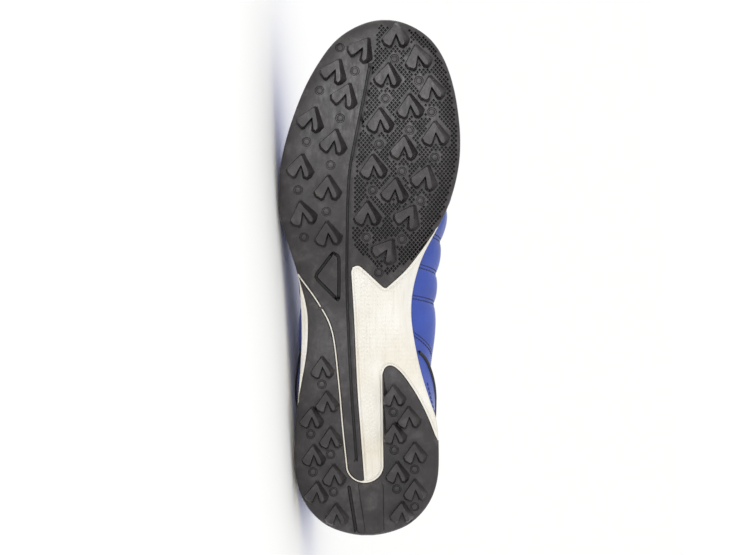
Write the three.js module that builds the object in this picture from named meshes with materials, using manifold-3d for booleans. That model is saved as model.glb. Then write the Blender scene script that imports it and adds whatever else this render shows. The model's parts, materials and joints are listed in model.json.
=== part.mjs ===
// A turf sneaker for the right foot, lying on its outer side, in millimetres with +Z up.
// Each piece is worked out in the shoe's own frame: x from heel to toe, y towards the inner (arch) side,
// z up from the tips of the lugs. Shares along are of soleLength, shares across are of the local width.
import * as THREE from 'three';
import { ConvexHull } from 'three/addons/math/ConvexHull.js';
import { mergeVertices } from 'three/addons/utils/BufferGeometryUtils.js';
import Module from 'manifold-3d';

// Driving sizes
const soleLength = 290;
const ballWidth = 101.4;
const heelWidth = 80.5;
const heelStack = 20;
const ballStack = 11.5;
const toeSpring = 13;
const archRise = 4.5;
const heelBevel = 4;
const edgeRoll = 2;
const archRoll = 6;
const rollWidth = 11;
const rubberThickness = 3;
const foamSetback = 0.4;
const lugHeight = 5;
const heelLugHeight = 4.5;
const lugLength = 14.5;
const heelLugLength = 12.5;
const instepHeight = 98;
const toeBoxHeight = 57;
const collarHeight = 89;
const counterHeight = 52.5;
const throatWidth = 26;
const tongueWidth = 48;
const widestRise = 10;
const sideRise = 4;
const archBulge = 6;
const upperWall = 2;
const quiltPuff = 1.8;
const featherInset = 2.2;
const lastingMargin = 10;
const marginThickness = 1.8;
const insoleThickness = 4;
const tongueThickness = 4.5;
const counterThickness = 1.3;
const pipingThickness = 1.6;
const eyestayWidth = 17;
const eyestayStep = 1.1;
const eyeletRadius = 2;
const eyeletCount = 6;
const laceWidth = 5.5;
const laceThickness = 1.4;
const clearance = 0.3;

// Densities in grams per cubic centimetre, for the centre of mass that the shoe rests by
const rubberDensity = 1.2;
const foamDensity = 0.3;
const leatherDensity = 0.9;
const paddingDensity = 0.5;

const wasm = await Module();
wasm.setup();

// Turns a list of rows of numbers into a table with named columns.
function table(columns, rows) {
  const names = columns.split(' ');
  return rows.map((row) => Object.fromEntries(names.map((name, i) => [name, row[i]])));
}

// The sole seen from above: its centre line and half width, as shares of the local width.
const soleOutline = table('along centre half', [
  [0.0, 0.0, 0.0],
  [0.025, 0.0, 0.306],
  [0.065, 0.0, 0.434],
  [0.105, 0.0, 0.487],
  [0.15, -0.002, 0.502],
  [0.22, -0.003, 0.49],
  [0.26, -0.021, 0.461],
  [0.3, -0.039, 0.433],
  [0.34, -0.052, 0.406],
  [0.38, -0.062, 0.38],
  [0.42, -0.069, 0.359],
  [0.46, -0.068, 0.35],
  [0.5, -0.06, 0.355],
  [0.54, -0.055, 0.38],
  [0.58, -0.043, 0.419],
  [0.62, -0.026, 0.456],
  [0.67, -0.003, 0.483],
  [0.72, 0.017, 0.492],
  [0.77, 0.036, 0.479],
  [0.82, 0.053, 0.45],
  [0.87, 0.069, 0.408],
  [0.92, 0.085, 0.344],
  [0.96, 0.093, 0.262],
  [1.0, 0.1, 0.0],
]);

// The upper at its widest, seen from above.
const upperOutline = table('along centre half', [
  [0.014, 0.0, 0.0],
  [0.05, 0.0, 0.292],
  [0.1, 0.0, 0.379],
  [0.15, 0.0, 0.418],
  [0.2, 0.004, 0.447],
  [0.26, -0.008, 0.468],
  [0.32, -0.018, 0.466],
  [0.38, -0.016, 0.457],
  [0.42, -0.012, 0.446],
  [0.48, -0.01, 0.426],
  [0.53, -0.006, 0.417],
  [0.57, -0.01, 0.417],
  [0.61, -0.012, 0.43],
  [0.66, -0.008, 0.453],
  [0.7, 0.0, 0.468],
  [0.75, 0.018, 0.465],
  [0.8, 0.037, 0.446],
  [0.85, 0.054, 0.409],
  [0.9, 0.076, 0.353],
  [0.94, 0.094, 0.286],
  [0.97, 0.103, 0.202],
  [0.987, 0.105, 0.0],
]);

// The ridge of the upper: where its ribs meet, its height between the toe box (0) and the instep (1),
// its shift to the inner side, and the taper of its section (1 is an ellipse, more is slimmer at the top).
const ridge = table('along meet height shift taper', [
  [0.0, 0.155, 1.5, 0.0, 0.6],
  [0.15, 0.2, 1.48, 0.0, 0.6],
  [0.31, 0.31, 1.4, 0.0, 0.62],
  [0.38, 0.375, 1.2, 0.01, 0.8],
  [0.45, 0.445, 1.02, 0.02, 1.08],
  [0.52, 0.52, 0.83, 0.03, 1.26],
  [0.59, 0.59, 0.61, 0.035, 1.3],
  [0.66, 0.66, 0.415, 0.035, 1.22],
  [0.72, 0.715, 0.26, 0.03, 1.1],
  [0.79, 0.77, 0.14, 0.025, 1.0],
  [0.86, 0.815, 0.06, 0.015, 0.9],
  [1.0, 0.855, 0.0, 0.0, 0.8],
]);

// The top edge of the collar and the eyestay's upper end from the side, up as a share of collarHeight
const topLine = table('along up', [
  [-0.035, 1.006],
  [0.028, 1.0],
  [0.055, 0.983],
  [0.097, 0.933],
  [0.145, 0.882],
  [0.193, 0.854],
  [0.241, 0.865],
  [0.29, 0.927],
  [0.334, 1.028],
  [0.369, 1.124],
  [0.383, 1.169],
]);

// The opening of the throat from above, half as a share of throatWidth
const throat = table('along half', [
  [0.338, 0.5],
  [0.407, 0.48],
  [0.517, 0.44],
  [0.614, 0.385],
  [0.648, 0.31],
  [0.662, 0.17],
]);

// The tongue from above, half as a share of tongueWidth
const tongueOutline = table('along half', [
  [0.317, 0.42],
  [0.338, 0.49],
  [0.414, 0.5],
  [0.517, 0.44],
  [0.621, 0.355],
  [0.662, 0.31],
  [0.679, 0.25],
]);

// The heel counter's top edge from the side, up as a share of counterHeight; the piping lies along it
const counterEdge = table('along up', [
  [0.348, 0.38],
  [0.331, 0.505],
  [0.303, 0.6],
  [0.262, 0.705],
  [0.214, 0.83],
  [0.152, 0.933],
  [0.083, 0.98],
  [-0.02, 1.0],
]);

// The eyelets' place along
const eyeletBack = 0.397;
const eyeletFront = 0.641;

// Quilting seams: where each crosses the widest line, and how far it leans back for each mm it climbs.
const quiltSeams = table('along lean', [
  [0.348, 0.75],
  [0.447, 0.38],
  [0.516, 0.32],
  [0.574, 0.24],
  [0.632, 0.16],
  [0.69, 0.1],
  [0.748, 0.05],
]);

// Columns of lugs: start, middle and end as shares along and across, with their turns in degrees
const foreLugs = table('count x0 y0 t0 x1 y1 t1 x2 y2 t2', [
  [4, 0.9, -0.179, 26, 0.76, -0.346, 17, 0.623, -0.359, -9],
  [5, 0.943, -0.028, 34, 0.762, -0.184, 14, 0.584, -0.222, -3],
  [4, 0.891, 0.112, 8, 0.758, 0.05, 0, 0.623, 0.0, 3],
  [3, 0.83, 0.235, 0, 0.75, 0.201, 7, 0.668, 0.151, 9],
  [3, 0.969, 0.156, 4, 0.926, 0.277, -9, 0.865, 0.352, -5],
  [4, 0.777, 0.374, 0, 0.654, 0.277, 25, 0.553, 0.11, 35],
]);
const heelLugs = table('count x0 y0 t0 x1 y1 t1 x2 y2 t2', [
  [3, 0.23, -0.387, 4, 0.157, -0.373, 2, 0.086, -0.352, 6],
  [5, 0.326, -0.312, 0, 0.191, -0.253, 0, 0.043, -0.215, 0],
  [4, 0.272, 0.183, 0, 0.162, 0.197, 0, 0.047, 0.239, 4],
  [3, 0.23, 0.288, 0, 0.162, 0.331, 0, 0.09, 0.331, 0],
]);

// One lug from below: an arrowhead with a notch between its feet, as shares of its length.
const lugOutline = table('ahead aside', [
  [0.5, 0.0],
  [-0.16, -0.52],
  [-0.32, -0.5],
  [-0.47, -0.24],
  [0.02, 0.0],
  [-0.47, 0.24],
  [-0.32, 0.5],
  [-0.16, 0.52],
]);
const lugTipShare = 0.66;

// The foam line between the two rubber pieces, from the outer edge back to the heel.
const foamLine = table('along across', [
  [0.504, -0.412],
  [0.447, -0.303],
  [0.393, -0.231],
  [0.299, -0.197],
  [0.211, -0.169],
  [0.137, -0.141],
]);
const foamLineWidth = 1.4;

// The inner edge of the rubber tail that runs from the forefoot into the heel.
const tailEdge = table('along across', [
  [0.109, -0.022],
  [0.182, -0.042],
  [0.289, -0.07],
  [0.416, -0.086],
  [0.51, -0.096],
]);

// The back edge of the forefoot rubber: round the foam's lobe, out to the point and up to the inner edge.
const foreBackEdge = table('along across', [
  [0.5195, -0.086],
  [0.5225, -0.055],
  [0.517, -0.024],
  [0.49, 0.067],
  [0.4815, 0.098],
  [0.4795, 0.114],
  [0.483, 0.131],
  [0.514, 0.23],
  [0.553, 0.314],
  [0.592, 0.386],
  [0.607, 0.43],
]);

// The heel rubber's outer side edge and its inner pod.
const heelOuterEdge = table('along across', [
  [0.488, -0.403],
  [0.455, -0.387],
  [0.417, -0.383],
  [0.357, -0.408],
  [0.295, -0.452],
  [0.24, -0.49],
]);
const heelPodEdge = table('along across', [
  [0.185, 0.484],
  [0.229, 0.422],
  [0.27, 0.348],
  [0.307, 0.26],
  [0.324, 0.2],
  [0.3285, 0.16],
  [0.324, 0.127],
  [0.3125, 0.11],
]);
const heelWindow = { along: 0.137, outer: -0.141, inner: 0.11, end: 0.1045 };

// Steps and ribs of the midsole's side, from its bottom edge (0) to the bite line (1)
const sideSteps = table('up inset', [
  [0.0, 0.6],
  [0.3, 0.2],
  [0.38, 1.1],
  [0.46, 0.9],
  [0.54, 0.0],
  [0.86, 0.0],
  [1.0, 0.9],
]);

// The channel that parts the two halves of the forefoot
const channel = table('along across', [
  [0.905, 0.014],
  [0.846, -0.017],
  [0.76, -0.066],
  [0.69, -0.098],
  [0.572, -0.111],
  [0.46, -0.122],
  [0.3, -0.11],
  [0.15, -0.072],
]);
const channelWidth = 2.4;
const channelDepth = 1;
const smooth = (t) => {
  const c = Math.min(1, Math.max(0, t));
  return c * c * (3 - 2 * c);
};
const mix = (a, b, t) => a + (b - a) * t;

// Reads one column of a table at a share along the shoe, on a smooth curve through its rows.
function read(rows, column, s) {
  const value = (i) => rows[i][column];
  const last = rows.length - 1;
  if (s <= rows[0].along) return value(0);
  if (s >= rows[last].along) return value(last);
  let i = 0;
  while (rows[i + 1].along < s) i += 1;
  const slope = (k) => {
    const a = Math.max(0, k - 1);
    const b = Math.min(last, k + 1);
    return (value(b) - value(a)) / (rows[b].along - rows[a].along);
  };
  const step = rows[i + 1].along - rows[i].along;
  const t = (s - rows[i].along) / step;
  const [t2, t3] = [t * t, t * t * t];
  return (2 * t3 - 3 * t2 + 1) * value(i) + (t3 - 2 * t2 + t) * step * slope(i)
    + (3 * t2 - 2 * t3) * value(i + 1) + (t3 - t2) * step * slope(i + 1);
}

// A half width is read through its square, so that an outline closes round at heel and toe.
for (const rows of [soleOutline, upperOutline]) {
  for (const row of rows) row.square = row.half ** 2;
}
const readHalf = (rows, s) => Math.sqrt(Math.max(0, read(rows, 'square', s)));

const widthAt = (s) => heelWidth + (ballWidth - heelWidth) * smooth((s - 0.3) / 0.35);
const onSole = (along, across) => new THREE.Vector2(along * soleLength, across * widthAt(along));

// What the cuts reach, well past the shoe on every side
const beyond = 0.1 * soleLength;
const cutLow = -beyond;
const cutHigh = 1.6 * instepHeight;
const cutSide = 0.8 * ballWidth;

// The sole's long profile
const toeCurve = (s) => Math.max(0, (s - 0.68) / 0.32) ** 2;
const archCurve = (s) => Math.cos(Math.PI * Math.min(0.5, Math.abs((s - 0.45) / 0.36))) ** 2;
const heelCurve = (s) => Math.max(0, 1 - s / 0.09) ** 2;
const stackAt = (s) => mix(heelStack, ballStack, smooth((s - 0.18) / 0.5));

// The underside of the rubber between the lugs, which rolls up towards the edges and most at the arch
function undersideAt(x, y) {
  const s = x / soleLength;
  const across = y - read(soleOutline, 'centre', s) * widthAt(s);
  const within = readHalf(soleOutline, s) * widthAt(s) - Math.abs(across);
  const roll = Math.min(1, Math.max(0, 1 - within / rollWidth)) ** 2;
  const height = edgeRoll + (across > 0 ? archRoll * archCurve(s) : 0);
  const rise = toeSpring * toeCurve(s) + heelBevel * heelCurve(s) + archRise * archCurve(s);
  return lugHeight + rise + height * roll;
}

// The line where the upper meets the midsole
function biteAt(x) {
  const s = x / soleLength;
  return lugHeight + stackAt(s) + toeSpring * toeCurve(s) + heelBevel * 0.5 * heelCurve(s);
}

// Stations along the shoe, closer together at heel and toe, where a small flat is left
const endShare = 0.002;
const endBias = 0.75;
function stations(count) {
  return Array.from({ length: count + 1 }, (_, i) => {
    const even = i / count;
    return mix(endShare, 1 - endShare, mix(even, (1 - Math.cos(Math.PI * even)) / 2, endBias));
  });
}

// A closed outline as an outer and an inner run of points, each moved in by an inset.
function outlineRing(rows, shares, inset) {
  const side = (sign) => shares.map((s) => {
    const y = (read(rows, 'centre', s) + sign * readHalf(rows, s)) * widthAt(s);
    return new THREE.Vector2(s * soleLength, y);
  });
  const loop = [...side(-1), ...side(1).reverse()];
  const moved = growOutline(loop, -inset);
  return { outer: moved.slice(0, shares.length), inner: moved.slice(shares.length).reverse() };
}

// Moves an open run of points sideways, or a closed outline out all round where it runs anticlockwise.
function shiftRun(points, by, closed = false) {
  const n = points.length;
  const at = (i) => points[closed ? (i + n) % n : Math.min(n - 1, Math.max(0, i))];
  return points.map((p, i) => {
    const along = at(i + 1).clone().sub(at(i - 1)).normalize();
    return new THREE.Vector2(p.x + along.y * by, p.y - along.x * by);
  });
}
const growOutline = (points, by) => shiftRun(points, by, true);
const anticlockwise = (points) => (THREE.ShapeUtils.area(points) > 0 ? points : points.slice().reverse());

// Collects faces on shared corners and turns them into one closed solid.
class Skin {
  constructor() {
    this.corners = [];
    this.faces = [];
  }

  add(x, y, z) {
    this.corners.push(x, y, z);
    return this.corners.length / 3 - 1;
  }

  face(a, b, c) {
    if (a !== b && b !== c && a !== c) this.faces.push(a, b, c);
  }

  quad(a, b, c, d) {
    this.face(a, b, c);
    this.face(a, c, d);
  }

  solid() {
    return solidFrom(new Float32Array(this.corners), new Uint32Array(this.faces));
  }
}

function solidFrom(vertProperties, triVerts) {
  return new wasm.Manifold(new wasm.Mesh({ numProp: 3, vertProperties, triVerts }));
}

// A three.js geometry as a solid
function solidOf(geometry) {
  const bare = geometry.clone();
  bare.deleteAttribute('normal');
  bare.deleteAttribute('uv');
  const merged = mergeVertices(bare, 1e-4);
  return solidFrom(new Float32Array(merged.attributes.position.array), new Uint32Array(merged.index.array));
}

function geometryOf(solid) {
  const mesh = solid.getMesh();
  const geometry = new THREE.BufferGeometry();
  geometry.setAttribute('position', new THREE.BufferAttribute(new Float32Array(mesh.vertProperties), 3));
  geometry.setIndex(new THREE.BufferAttribute(new Uint32Array(mesh.triVerts), 1));
  geometry.computeVertexNormals();
  return geometry;
}

// A block that follows an outline: rings from bottom to top, with a bottom and a top across them.
const curvedAcross = [0, 0.06, 0.16, 0.5, 0.84, 0.94, 1];
const flatAcross = [0, 1];
function blockSolid(rows, shares, levels) {
  const skin = new Skin();
  const rings = levels.map(({ inset, height, across = curvedAcross }) => {
    const ring = outlineRing(rows, shares, inset);
    const place = (points) => points.map((p) => skin.add(p.x, p.y, height(p.x, p.y)));
    return { outer: place(ring.outer), inner: place(ring.inner), height, across };
  });
  const loops = rings.map(({ outer, inner }) => [...outer, ...inner.slice().reverse()]);
  for (let k = 0; k + 1 < loops.length; k += 1) {
    const n = loops[k].length;
    for (let i = 0; i < n; i += 1) {
      const j = (i + 1) % n;
      skin.quad(loops[k][i], loops[k][j], loops[k + 1][j], loops[k + 1][i]);
    }
  }
  const cap = ({ outer, inner, height, across }, faceUp) => {
    const columns = across.length - 1;
    const lines = outer.map((a, i) => {
      const b = inner[i];
      const isEnd = i === 0 || i === outer.length - 1;
      const [pa, pb] = [a, b].map((index) => skin.corners.slice(index * 3, index * 3 + 3));
      return across.map((t, q) => {
        if (q === 0 || (isEnd && t < 0.5)) return a;
        if (q === columns || isEnd) return b;
        const [x, y] = [mix(pa[0], pb[0], t), mix(pa[1], pb[1], t)];
        return skin.add(x, y, height(x, y));
      });
    });
    for (let i = 0; i + 1 < lines.length; i += 1) {
      for (let q = 0; q < columns; q += 1) {
        const around = [lines[i][q], lines[i + 1][q], lines[i + 1][q + 1], lines[i][q + 1]];
        if (faceUp) skin.quad(...around);
        else skin.quad(...around.reverse());
      }
    }
  };
  cap(rings[0], false);
  cap(rings[rings.length - 1], true);
  return skin.solid();
}

const planPoints = (pairs) => pairs.map(([a, b]) => new THREE.Vector2(a, b));

// A plan outline pushed straight up through the shoe
function planCut(points) {
  const shape = new THREE.Shape(anticlockwise(points));
  const geometry = new THREE.ExtrudeGeometry(shape, { depth: cutHigh - cutLow, bevelEnabled: false });
  return solidOf(geometry.translate(0, 0, cutLow));
}

// A side outline pushed straight across the shoe
function sideCut(points) {
  const shape = new THREE.Shape(anticlockwise(points));
  const geometry = new THREE.ExtrudeGeometry(shape, { depth: 2 * cutSide, bevelEnabled: false });
  return solidOf(geometry.rotateX(Math.PI / 2).translate(0, cutSide, 0));
}

// Everything above a height
function above(z) {
  const [back, front] = [-beyond, soleLength + beyond];
  return sideCut(planPoints([[back, z], [front, z], [front, cutHigh], [back, cutHigh]]));
}

// A smooth run of points through plan points
const smoothRun = (points, steps) => new THREE.SplineCurve(points).getPoints(steps);
const planRun = (rows, steps) => smoothRun(rows.map((row) => onSole(row.along, row.across)), steps);

// The curved rubber layer under the whole sole, before it is cut into its pieces.
const rubberShares = 22;
const edgeBevel = 1;
function rubberLayer(low, high, outset) {
  const at = (lift) => (x, y) => undersideAt(x, y) + lift;
  return blockSolid(soleOutline, stations(rubberShares), [
    { inset: edgeBevel - outset, height: at(low) },
    { inset: -outset, height: at(low + edgeBevel) },
    { inset: -outset, height: at(high) },
  ]);
}

// The foam line between the two rubber pieces, with its turn round the back of the heel window.
const foamRun = planRun(foamLine, 12);
const windowArc = Array.from({ length: 11 }, (_, i) => {
  const angle = Math.PI * (i / 10);
  const middle = (heelWindow.outer + heelWindow.inner) / 2;
  const reach = (heelWindow.inner - heelWindow.outer) / 2;
  const back = (heelWindow.along - heelWindow.end) * Math.sin(angle);
  return onSole(heelWindow.along - back, middle - reach * Math.cos(angle));
});

// Plan outline of the forefoot rubber with its tail
function foreOutline() {
  const outerRun = shiftRun([...foamRun, ...windowArc.slice(1, 5)], foamLineWidth / 2);
  const round = planPoints([
    [0.61 * soleLength, ballWidth],
    [soleLength + beyond, ballWidth],
    [soleLength + beyond, -ballWidth],
    [0.53 * soleLength, -ballWidth],
  ]);
  return anticlockwise([...round, ...outerRun, ...planRun(tailEdge, 7), ...planRun(foreBackEdge, 17)]);
}

// Plan outline of the heel rubber: an outer arm, round the heel, and an inner pod.
function heelOutline() {
  const innerRun = shiftRun([...foamRun, ...windowArc.slice(1)], -foamLineWidth / 2);
  const round = planPoints([
    [0.22 * soleLength, -ballWidth],
    [-beyond, -ballWidth],
    [-beyond, ballWidth],
    [0.17 * soleLength, ballWidth],
  ]);
  const [arm, pod] = [planRun(heelOuterEdge, 10), planRun(heelPodEdge, 10)];
  return anticlockwise([...arm, ...round, ...pod, ...innerRun.reverse()]);
}

// One lug, with its tip narrower than its root. Its tip follows the ground line of the sole.
function lug(spot, size, height) {
  const shape = new THREE.Shape(anticlockwise(lugOutline.map((p) => new THREE.Vector2(p.ahead, p.aside))));
  const geometry = new THREE.ExtrudeGeometry(shape, { depth: 1, bevelEnabled: false });
  const place = geometry.attributes.position;
  const turn = THREE.MathUtils.degToRad(spot.turn);
  const centre = onSole(spot.along, spot.across);
  for (let i = 0; i < place.count; i += 1) {
    const isTip = place.getZ(i) < 0.5;
    const reach = size * (isTip ? lugTipShare : 1);
    const [ahead, aside] = [place.getX(i) * reach, place.getY(i) * reach];
    const x = centre.x + ahead * Math.cos(turn) - aside * Math.sin(turn);
    const y = centre.y + ahead * Math.sin(turn) + aside * Math.cos(turn);
    place.setXYZ(i, x, y, undersideAt(x, y) + (isTip ? -height : rubberThickness / 2));
  }
  return solidOf(geometry);
}

// The places of the lugs in each column, on a smooth curve through its start, middle and end
function lugSpots(columns) {
  return columns.flatMap((c) => Array.from({ length: c.count }, (_, i) => {
    const t = i / (c.count - 1);
    const through = (a, b, d) => (1 - t) * (1 - 2 * t) * a + 4 * t * (1 - t) * b + t * (2 * t - 1) * d;
    const [along, across] = [through(c.x0, c.x1, c.x2), through(c.y0, c.y1, c.y2)];
    return { along, across, turn: through(c.t0, c.t1, c.t2) };
  }));
}

const joinAll = (solids) => solids.reduce((all, one) => all.add(one));

// What no rubber goes beyond: the sole's edge and the layer's own top
const rubberRoom = () => rubberLayer(-2 * lugHeight, rubberThickness, 0);

function outsoleForefoot() {
  const outline = planCut(foreOutline());
  const run = planRun(channel, 14);
  const groove = planCut([...shiftRun(run, channelWidth / 2), ...shiftRun(run, -channelWidth / 2).reverse()]);
  const cuts = rubberLayer(-1, channelDepth, 1).intersect(groove);
  const lugs = joinAll(lugSpots(foreLugs).map((spot) => lug(spot, lugLength, lugHeight)));
  const whole = rubberLayer(0, rubberThickness, 0).subtract(cuts).add(lugs);
  return whole.intersect(outline).intersect(rubberRoom());
}

function outsoleHeel() {
  const lugs = joinAll(lugSpots(heelLugs).map((spot) => lug(spot, heelLugLength, heelLugHeight)));
  const whole = rubberLayer(0, rubberThickness, 0).add(lugs);
  return whole.intersect(planCut(heelOutline())).intersect(rubberRoom());
}

function midsole() {
  const levels = sideSteps.map(({ up, inset }) => ({
    inset,
    height: (x, y) => mix(undersideAt(x, y) + foamSetback, biteAt(x), up),
    across: up ? flatAcross : curvedAcross,
  }));
  const body = blockSolid(soleOutline, stations(rubberShares), levels);
  const cutFor = (outline) => planCut(growOutline(outline, clearance));
  const pieces = cutFor(foreOutline()).add(cutFor(heelOutline()));
  const pocket = rubberLayer(-rubberThickness, rubberThickness + clearance, clearance / 3);
  return body.subtract(pocket.intersect(pieces));
}

// The quilting's puff at a place along and a height above the widest line
function puffAt(x, above) {
  const crossings = quiltSeams.map((seam) => seam.along * soleLength - seam.lean * above);
  const k = crossings.findIndex((at) => at > x);
  if (k < 1) return 0;
  const t = (2 * (x - crossings[k - 1])) / (crossings[k] - crossings[k - 1]) - 1;
  return quiltPuff * (1 - t * t) ** 0.7;
}

// One rib of the upper from the bite line over its widest point to the ridge, as points
const ribSteps = { low: 3, high: 6 };
const quiltTop = 0.52;
const quiltFade = 0.28;
function ribPoints(s, sign, foot, widest, grow, puff, lift) {
  const meet = read(ridge, 'meet', s);
  const ridgeHeight = mix(toeBoxHeight, instepHeight, read(ridge, 'height', s));
  const topY = (read(upperOutline, 'centre', meet) + read(ridge, 'shift', s)) * widthAt(meet);
  const top = new THREE.Vector3(meet * soleLength, topY, ridgeHeight + grow);
  const bite = biteAt(foot.x);
  const zWide = bite + widestRise + sideRise * smooth((0.9 - s) / 0.3) + archBulge * archCurve(s);
  const out = (k) => {
    if (!puff) return 0;
    const upShare = (k - ribSteps.low) / ribSteps.high;
    return puff * smooth(k / 2) * smooth((quiltTop - upShare) / quiltFade);
  };
  const points = [];
  for (let k = 0; k <= ribSteps.low + ribSteps.high; k += 1) {
    const isLow = k < ribSteps.low;
    const angle = (Math.PI / 2) * (isLow ? k / ribSteps.low : (k - ribSteps.low) / ribSteps.high);
    const near = isLow ? foot : top;
    const share = isLow ? Math.sin(angle) : Math.cos(angle) ** read(ridge, 'taper', s);
    const z = isLow ? mix(bite + lift, zWide, k / ribSteps.low) : mix(zWide, top.z, Math.sin(angle));
    const p = new THREE.Vector3(mix(near.x, widest.x, share), mix(near.y, widest.y, share), z);
    const bulge = out(k) * (puff ? puffAt(p.x, z - zWide) : 0);
    points.push(p.add(new THREE.Vector3(0, sign * bulge, bulge * 0.3)));
  }
  points[points.length - 1].copy(top);
  return points;
}

// Everything inside the upper's outer face, grown by an amount (less than nothing for the inner face).
// The quilting is let in by a share, and the bottom is lifted above the bite line.
function upperForm(shares, grow, puff, lift) {
  const feet = outlineRing(soleOutline, shares, featherInset - grow);
  const low = upperOutline[0].along;
  const high = upperOutline[upperOutline.length - 1].along;
  const wide = outlineRing(upperOutline, shares.map((s) => mix(low, high, s)), -grow);
  const skin = new Skin();
  const lines = shares.map((s, i) => {
    const [a, b] = [['outer', -1], ['inner', 1]].map(([side, sign]) => (
      ribPoints(s, sign, feet[side][i], wide[side][i], grow, puff, lift)));
    return [...a, ...b.slice(0, -1).reverse()].map((p) => skin.add(p.x, p.y, p.z));
  });
  const n = lines[0].length;
  for (let i = 0; i + 1 < lines.length; i += 1) {
    const [here, next] = [lines[i], lines[i + 1]];
    for (let k = 0; k + 1 < n; k += 1) skin.quad(here[k], next[k], next[k + 1], here[k + 1]);
    skin.quad(here[0], here[n - 1], next[n - 1], next[0]);
  }
  for (const [line, isToe] of [[lines[0], false], [lines[lines.length - 1], true]]) {
    for (let k = 0; 2 * k < n - 1; k += 1) {
      const around = [line[k], line[k + 1], line[n - 2 - k], line[n - 1 - k]];
      if (isToe) skin.quad(...around.reverse());
      else skin.quad(...around);
    }
  }
  return skin.solid();
}

const linedShares = stations(20);
const quiltShares = [
  ...linedShares.filter((s) => s < 0.33),
  ...Array.from({ length: 22 }, (_, i) => 0.337 + i * 0.0192),
  ...linedShares.filter((s) => s > 0.75),
];
const layerShares = [endShare, 0.2, 0.32, 0.38, 0.44, 0.5, 0.56, 0.62, 0.68, 0.8, 1 - endShare];
const outside = (shares, low, high) => {
  const form = (grow) => upperForm(shares, grow, 0, clearance);
  return form(high).subtract(form(low));
};

// The ridge's middle at a distance along, for what is laid out on both sides of it
function ridgeMiddle(x) {
  const s = x / soleLength;
  return (read(upperOutline, 'centre', s) + read(ridge, 'shift', s)) * widthAt(s);
}

// A plan strip along the ridge from a table of half widths, grown by an amount at the sides and in front
function ridgeStrip(rows, width, by = 0) {
  const last = rows[rows.length - 1].along;
  const points = rows.map(({ along, half }) => [
    along * soleLength + by * smooth((along - last) / 0.05 + 1),
    half * width + by,
  ]);
  const run = smoothRun(planPoints(points), 2 * rows.length);
  const side = (sign) => run.map((p) => new THREE.Vector2(p.x, ridgeMiddle(p.x) + sign * p.y));
  return [...side(-1), ...side(1).reverse()];
}

// What is cut away above the collar's top edge
function aboveTopLine() {
  const line = planPoints(topLine.map((row) => onSide(row, collarHeight)));
  const [back, front] = [line[0], line[line.length - 1]];
  const over = planPoints([[front.x * 1.03, cutHigh], [-beyond, cutHigh], [-beyond, back.y]]);
  return sideCut([...smoothRun(line, 18), ...over]);
}

// Eyelets in two rows beside the throat
function eyeletSpots() {
  return Array.from({ length: eyeletCount }, (_, i) => {
    const s = mix(eyeletFront, eyeletBack, i / (eyeletCount - 1));
    const away = read(throat, 'half', s) * throatWidth + 0.4 * eyestayWidth;
    return { x: s * soleLength, middle: ridgeMiddle(s * soleLength), away };
  });
}

function roundCut(x, y, radius) {
  const turns = Array.from({ length: 8 }, (_, i) => (Math.PI / 4) * (i + 0.5));
  return planCut(turns.map((a) => new THREE.Vector2(x + radius * Math.cos(a), y + radius * Math.sin(a))));
}

// A height between the widest line and the throat
const shoulder = 0.46 * instepHeight;

function upper() {
  const outer = upperForm(quiltShares, 0, 1, clearance);
  const strip = planCut(ridgeStrip(throat, throatWidth, eyestayWidth)).intersect(above(shoulder));
  const eyestay = upperForm(quiltShares, eyestayStep, 0, clearance).intersect(strip);
  const hollow = upperForm(linedShares, -upperWall, 0.4, clearance + marginThickness);
  const margin = outlineRing(soleOutline, stations(20), featherInset + lastingMargin);
  const bottom = planCut([...margin.outer, ...margin.inner.reverse()]).subtract(above(shoulder));
  const holes = eyeletSpots().flatMap(({ x, middle, away }) => [
    roundCut(x, middle - away, eyeletRadius),
    roundCut(x, middle + away, eyeletRadius),
  ]);
  const opening = joinAll([planCut(ridgeStrip(throat, throatWidth)), ...holes]).intersect(above(shoulder));
  return outer.add(eyestay).subtract(joinAll([hollow, bottom, aboveTopLine(), opening]));
}

function insole() {
  const base = (x) => biteAt(x) + marginThickness + 2 * clearance;
  const cup = (x, y) => {
    const s = x / soleLength;
    const across = y - read(soleOutline, 'centre', s) * widthAt(s);
    const edge = Math.abs(across) / (readHalf(soleOutline, s) * widthAt(s) + 1);
    return base(x) + insoleThickness + (0.5 + 1.5 * smooth((0.5 - s) / 0.3)) * smooth((edge - 0.4) / 0.5);
  };
  const slab = blockSolid(soleOutline, stations(13), [
    { inset: featherInset, height: base, across: flatAcross },
    { inset: featherInset, height: cup },
  ]);
  const room = upperForm(linedShares, -upperWall - 1.5 * clearance, 0, clearance + marginThickness);
  return slab.intersect(room);
}

function tongue() {
  const form = (depth) => upperForm(linedShares, -upperWall - clearance - depth, 0, clearance);
  const strip = planCut(ridgeStrip(tongueOutline, tongueWidth));
  return form(0).subtract(form(tongueThickness)).intersect(strip).intersect(above(shoulder));
}

const onSide = ({ along, up }, height) => [along * soleLength, up * height];
const counterPoints = planPoints(counterEdge.map((row) => onSide(row, counterHeight)));
const counterRun = smoothRun(counterPoints, 12);

// What overlays may cover at the sides: everything above the upper's own bottom edge
function aboveFeather() {
  const [back, front] = [-beyond / 3, 0.4 * soleLength];
  const line = Array.from({ length: 9 }, (_, i) => mix(back, front, i / 8));
  const edge = planPoints(line.map((x) => [x, biteAt(x) + 4 * clearance]));
  return sideCut([...edge, ...planPoints([[front, collarHeight], [back, collarHeight]])]);
}

function heelCounter() {
  const [front, back] = [counterPoints[0], counterPoints[counterPoints.length - 1]];
  const below = planPoints([[-beyond, back.y], [-beyond, 0], [front.x, 0]]);
  const region = sideCut([...counterRun, ...below]).intersect(aboveFeather());
  return outside(quiltShares, clearance, clearance + counterThickness).intersect(region);
}

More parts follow.
